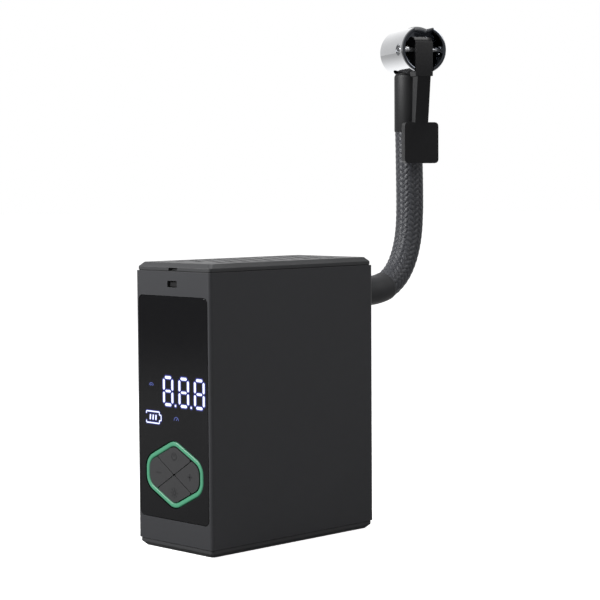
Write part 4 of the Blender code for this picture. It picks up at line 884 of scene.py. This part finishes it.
def buildBarrel(facts):
    r, near, far = facts["radius"], facts["near"], facts["far"]
    recess, rim = r - facts["wall"], facts["rim"]
    profile = [(facts["mouth"] + 0.0003, far), (r - rim, far), (r - rim * 0.5, far - rim * 0.13),
               (r - rim * 0.13, far - rim * 0.5), (r, far - rim), (r, near + 0.0006),
               (r - 0.0002, near + 0.0002), (r - 0.0006, near),
               (recess + 0.0004, near), (recess + 0.0001, near + 0.0001), (recess, near + 0.0004),
               (recess, facts["plungerBack"]), (facts["guide"], facts["plungerBack"]), (facts["guide"], 0),
               (facts["seal"], 0), (facts["seal"], facts["sealEnd"]), (facts["mouth"], facts["sealEnd"]),
               (facts["mouth"], far - 0.0003)]
    shape = turnedShape(profile, 96, closed=True)
    bmesh.ops.transform(shape, matrix=alongX, verts=shape.verts)
    piece = keepPiece("chuckBarrel", shape, chromePlate, "case", ["chuck_barrel"])
    slot = roundedPrism((near - 0.002, -facts["slotHalf"], -r - 0.002),
                        (facts["hinge"] + facts["slotReach"], facts["slotHalf"], r + 0.002), 0.0009, 2, 4)
    seat, port = bmesh.new(), bmesh.new()
    cone(seat, facts["seatRadius"], -r - 0.002, -facts["nutSeat"], "Z")
    cone(port, facts["port"], -facts["nutSeat"] - 0.001, -facts["guide"] + 0.002, "Z", 24)
    beyond, floor = r + 0.002, r - facts["recessDepth"]
    hole, wide = facts["pinHole"], facts["pinRecess"]
    across = turnedShape([(0, beyond), (wide, beyond), (wide, floor), (hole, floor), (hole, -floor),
                          (wide, -floor), (wide, -beyond), (0, -beyond)], 40)
    sideways = Matrix.Translation((facts["hinge"], 0, 0)) @ Matrix.Rotation(math.pi / 2, 4, "X")
    bmesh.ops.transform(across, matrix=sideways, verts=across.verts)
    carve(piece, [slot, seat, port, across])
    # marks the end face and the bore, which the chrome finish colours dark as painted shade
    inside = piece.data.attributes.new("inside", "FLOAT", "POINT")
    for vert, mark in zip(piece.data.vertices, inside.data):
        span = math.hypot(vert.co.y, vert.co.z)
        onEnd = vert.co.x < near + 0.0003 and span < r - 0.0003
        inBore = vert.co.x < facts["sealEnd"] and span < recess + 0.00005
        mark.value = float(onEnd or inBore)
    piece.data.transform(chuckPlace)
    smoothed(piece.data, 28)
    return settleNormals(piece)


chuckBarrel = buildBarrel(chuckFacts)


def buildUpperSleeve():
    low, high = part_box("hose_sleeve_upper")
    radius = (high.y - low.y) / 2
    tall = high.z - low.z
    bore = 0.0056
    profile = [(bore, tall), (radius - 0.0018, tall), (radius - 0.0008, tall - 0.0003),
               (radius - 0.0002, tall - 0.0009), (radius, tall - 0.0018), (radius, 0.0006),
               (radius - 0.0002, 0.0001), (radius - 0.0005, 0), (bore, 0)]
    shape = turnedShape(profile, 72, closed=True)
    place = Matrix.Translation(((low.x + high.x) / 2, (low.y + high.y) / 2, low.z))
    return keepPiece("upperSleeve", shape, softRubber, "case", ["hose_sleeve_upper"], place)


nutFacts = {"radius": 0.0052, "bore": 0.0033, "edge": 0.0003}


def buildSwivelNut(facts):
    # a hexagon nut with rounded edges, over the hose tail
    low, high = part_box("swivel_nut")
    tall = high.z - low.z
    shape = bmesh.new()
    bmesh.ops.create_cone(shape, cap_ends=True, segments=6, radius1=facts["radius"],
                          radius2=facts["radius"], depth=tall)
    roundEdges(shape, facts["edge"], 2, 20)
    piece = keepPiece("swivelNut", shape, blackSteel, "case", ["swivel_nut"])
    bore = bmesh.new()
    cone(bore, facts["bore"], -tall, tall, "Z", 32)
    carve(piece, [bore])
    turn = Matrix.Rotation(math.radians(-chuckFacts["turn"]), 4, "Z")
    piece.data.transform(Matrix.Translation((low + high) / 2) @ turn)
    smoothed(piece.data)
    return piece


upperSleeve = buildUpperSleeve()
swivelNut = buildSwivelNut(nutFacts)
sealFacts = {"radius": 0.0063, "bore": 0.0041, "length": 0.0067}


def buildSeal(facts):
    # rubber ring with a lip that closes on the valve
    r, bore, length = facts["radius"], facts["bore"], facts["length"]
    profile = [(bore + 0.0006, length), (r - 0.0004, length), (r, length - 0.0004), (r, 0.0004),
               (r - 0.0004, 0), (bore + 0.0003, 0), (bore, 0.0003), (bore, length * 0.35),
               (bore + 0.0005, length * 0.45), (bore + 0.0005, length * 0.6), (bore, length * 0.72),
               (bore, length - 0.0008)]
    shape = turnedShape(profile, 64, closed=True)
    bmesh.ops.transform(shape, matrix=alongX @ Matrix.Translation((0, 0, 0.0003)), verts=shape.verts)
    return keepPiece("chuckSeal", shape, sealRubber, "case", ["chuck_seal"], chuckPlace, 50)


def buildPlunger():
    # brass plunger: a nose that opens the valve, and a head with a groove
    profile = [(0, 0.0018), (0.0005, 0.0018), (0.0008, 0.0016), (0.0009, 0.0012), (0.0009, 0),
               (0.0011, -0.0003), (0.0050, -0.0003), (0.0054, -0.0006), (0.0054, -0.0025),
               (0.0050, -0.0028), (0.0050, -0.0040), (0.0054, -0.0043), (0.0054, -0.0066),
               (0.0050, -0.0070), (0, -0.0070)]
    shape = turnedShape(profile, 48)
    bmesh.ops.transform(shape, matrix=alongX, verts=shape.verts)
    return keepPiece("sealPlunger", shape, turnedBrass, "plunger", ["seal_plunger"], chuckPlace)


pinFacts = {"radius": 0.0015, "reach": 0.0104, "edge": 0.0003, "socket": 0.0009}


def buildPin(facts):
    # the lever's pin, with a hexagon socket in each end
    r, reach, edge = facts["radius"], facts["reach"], facts["edge"]
    profile = [(0, reach), (r - edge, reach), (r, reach - edge), (r, edge - reach), (r - edge, -reach),
               (0, -reach)]
    shape = turnedShape(profile, 32)
    place = Matrix.Translation((chuckFacts["hinge"], 0, 0)) @ Matrix.Rotation(math.pi / 2, 4, "X")
    bmesh.ops.transform(shape, matrix=place, verts=shape.verts)
    piece = keepPiece("leverPin", shape, brightSteel, "case", ["lever_pin"])
    sockets = []
    for side in (-1, 1):
        socket = bmesh.new()
        size = facts["socket"]
        made = cone(socket, size, side * reach - size, side * reach + size, "Y", 6)
        bmesh.ops.translate(socket, vec=(chuckFacts["hinge"], 0, 0), verts=made)
        sockets.append(socket)
    carve(piece, sockets)
    piece.data.transform(chuckPlace)
    smoothed(piece.data)
    return piece


chuckSeal = buildSeal(sealFacts)
sealPlunger = buildPlunger()
leverPin = buildPin(pinFacts)
chuckLever = refine("chuckLever", "lever", leverPlastic, 0.0004, segments=3, sharpDegrees=40)
print("chuck made")

# floor, background and lights
stageFacts = {"floorRadius": 9.0, "floorTint": 0.80, "floorDim": 0.16, "floorLift": 0.86, "floorBack": 1.1,
              "floorFocus": 4.5, "sideLevel": 0.15, "backLevel": 1.25, "backFocus": 3.5}


def cameraOnly(tree, place):
    # one for what the camera sees directly, nought for light and reflections
    return addNode(tree, "ShaderNodeLightPath", place).outputs["Is Camera Ray"]


def towardsBack(tree, place, vector, focus):
    # one straight behind the object, falling to nought at its sides and in front
    back = Vector(cameraFacts["aim"]) - Vector(cameraFacts["place"])
    unit = addNode(tree, "ShaderNodeVectorMath", place, operation="NORMALIZE")
    behind = addNode(tree, "ShaderNodeVectorMath", (place[0] + 180, place[1]), operation="DOT_PRODUCT")
    behind.inputs[1].default_value = Vector((back.x, back.y, 0)).normalized()
    ahead = addNode(tree, "ShaderNodeMath", (place[0] + 360, place[1]), operation="MAXIMUM")
    sharp = addNode(tree, "ShaderNodeMath", (place[0] + 540, place[1]), operation="POWER")
    sharp.inputs[1].default_value = focus
    wire(tree, vector, unit.inputs[0])
    wire(tree, unit.outputs[0], behind.inputs[0])
    wire(tree, behind.outputs["Value"], ahead.inputs[0])
    wire(tree, ahead.outputs["Value"], sharp.inputs[0])
    return sharp.outputs["Value"]


def addFloor(facts):
    # pale to the camera; to reflections it is dim, with a bright part behind the object
    shape = bmesh.new()
    bmesh.ops.create_circle(shape, cap_ends=True, segments=64, radius=facts["floorRadius"])
    mesh = bpy.data.meshes.new("floor")
    shape.to_mesh(mesh)
    shape.free()
    floor = bpy.data.objects.new("floor", mesh)
    scene.collection.objects.link(floor)
    material, tree, shader = newMaterial("paleFloor")
    seen = cameraOnly(tree, (-600, -200))
    coords = addNode(tree, "ShaderNodeTexCoord", (-1300, -500))
    back = towardsBack(tree, (-1100, -500), coords.outputs["Object"], facts["floorFocus"])
    glow = setInputs(addNode(tree, "ShaderNodeMapRange", (-500, -500)), To_Max=facts["floorBack"])
    wire(tree, back, glow.inputs["Value"])
    lift = setInputs(addNode(tree, "ShaderNodeMapRange", (-300, -200)), To_Max=facts["floorLift"])
    wire(tree, glow.outputs["Result"], lift.inputs["To Min"])
    tint = mixColours(tree, (-300, 100), seen, [facts["floorDim"]] * 3, [facts["floorTint"]] * 3)
    wire(tree, seen, lift.inputs["Value"])
    wire(tree, lift.outputs["Result"], shader.inputs["Emission Strength"])
    wire(tree, tint, shader.inputs["Base Color"])
    setInputs(shader, Roughness=1.0, Specular_IOR_Level=0.0, Emission_Color=(1, 1, 1, 1))
    mesh.materials.append(material)


def addWorld(facts):
    # dim all round and bright behind the object; plain white to the camera
    world = bpy.data.worlds.new("tent")
    world.use_nodes = True
    scene.world = world
    tree = world.node_tree
    tree.nodes.clear()
    coords = addNode(tree, "ShaderNodeTexCoord", (-1100, 0))
    back = towardsBack(tree, (-1000, 0), coords.outputs["Generated"], facts["backFocus"])
    level = setInputs(addNode(tree, "ShaderNodeMapRange", (-300, 0)), To_Min=facts["sideLevel"],
                      To_Max=facts["backLevel"])
    around = addNode(tree, "ShaderNodeBackground", (-100, 100))
    plain = addNode(tree, "ShaderNodeBackground", (-100, -100))
    both = addNode(tree, "ShaderNodeMixShader", (150, 0))
    wire(tree, back, level.inputs["Value"])
    wire(tree, level.outputs["Result"], around.inputs["Strength"])
    wire(tree, cameraOnly(tree, (-100, 400)), both.inputs[0])
    for number, background in enumerate((around, plain)):
        background.inputs["Color"].default_value = (1, 1, 1, 1)
        wire(tree, background.outputs[0], both.inputs[number + 1])
    wire(tree, both.outputs[0], addNode(tree, "ShaderNodeOutputWorld", (400, 0)).inputs[0])


def addSoftbox(name, place, size, power, aim=(0, 0, 0.07)):
    data = bpy.data.lights.new(name, "AREA")
    data.shape = "RECTANGLE"
    data.size, data.size_y = size
    data.energy = power
    lamp = bpy.data.objects.new(name, data)
    scene.collection.objects.link(lamp)
    lamp.location = place
    lamp.rotation_euler = (Vector(aim) - Vector(place)).to_track_quat("-Z", "Y").to_euler()


addFloor(stageFacts)
addWorld(stageFacts)
addSoftbox("keyLight", (-0.30, -0.62, 0.50), (0.4, 0.3), 7.3)
addSoftbox("topLight", (0.0, 0.3, 1.1), (0.7, 0.7), 3.9)
addSoftbox("sideLight", (0.75, 0.3, 0.6), (0.5, 0.4), 1.9)
print("lights placed")

# what is inside keeps the CAD shapes, with broken edges and a finish of its own
insides = {
    "keyFrame": ("key_frame", innerPlasticAndLatchShade, 0.0001),
    "batteryHolder": ("battery_holder", innerPlasticAndLatchShade, 0.0002),
    "batteryCover": ("battery_cover", innerPlasticAndLatchShade, 0.0002),
    "displayModule": ("display_module", displayWhite, 0.0001),
    "mainBoard": ("main_board", boardMask, 0.0001),
    "chargeBoard": ("charge_board", boardMask, 0.0001),
    "chargingSocket": ("charging_socket", brightSteel, 0.00005),
    "pumpFrame": ("pump_frame", castAluminium, 0.0002),
    "cylinder": ("cylinder", castAluminium, 0.00015),
    "cylinderHead": ("cylinder_head", castAluminium, 0.0002),
    "connectingRod": ("conrod", castAluminium, 0.0002),
    "crankGear": ("crank_gear", gearNylon, 0.00008),
    "pistonBody": ("piston", gearNylon, 0.00012),
    "pistonSeal": ("piston_seal", sealRubber, 0.0001),
    "motorEndBell": ("motor_endbell", gearNylon, 0.0001),
    "motorCan": ("motor_can", darkSteel, 0.0002),
    "leftMagnet": ("magnet_left", darkSteel, 0.0002),
    "rightMagnet": ("magnet_right", darkSteel, 0.0002),
    "rotorCore": ("rotor_core", copperWire, 0.00015),
    "rotorShaft": ("rotor_shaft", brightSteel, 0.00008),
    "pinion": ("pinion", turnedBrass, 0.00005),
    "crankBearing": ("crank_bearing", turnedBrass, 0.0001),
    "crankShaft": ("crank_shaft", brightSteel, 0.0001),
    "crankPin": ("crank_pin", brightSteel, 0.0001),
    "crankWeight": ("crank_weight", brightSteel, 0.0001),
    "outletReed": ("outlet_reed", brightSteel, 0.00005),
    "pressureSensor": ("pressure_sensor", innerPlasticAndLatchShade, 0.0002),
    "sensorTube": ("sensor_tube", clearTubing, 0),
    "hoseNipple": ("hose_nipple", turnedBrass, 0.0001),
    "hoseTail": ("hose_tail", turnedBrass, 0.0001),
    "leftCell": ("cell_left", cellWrap, 0.0003),
    "rightCell": ("cell_right", cellWrap, 0.0003),
    "topCell": ("cell_top", cellWrap, 0.0003),
}
for name, (node, material, width) in insides.items():
    refine(name, node, material, width)
for side in ("up", "right", "down", "left"):
    refine(side + "Switch", "switch_" + side, brightSteel, 0.00015)
for number in range(1, 5):
    refine(f"caseScrew{number}", f"case_screw_{number}", darkSteel, 0.00015)
print("insides finished")
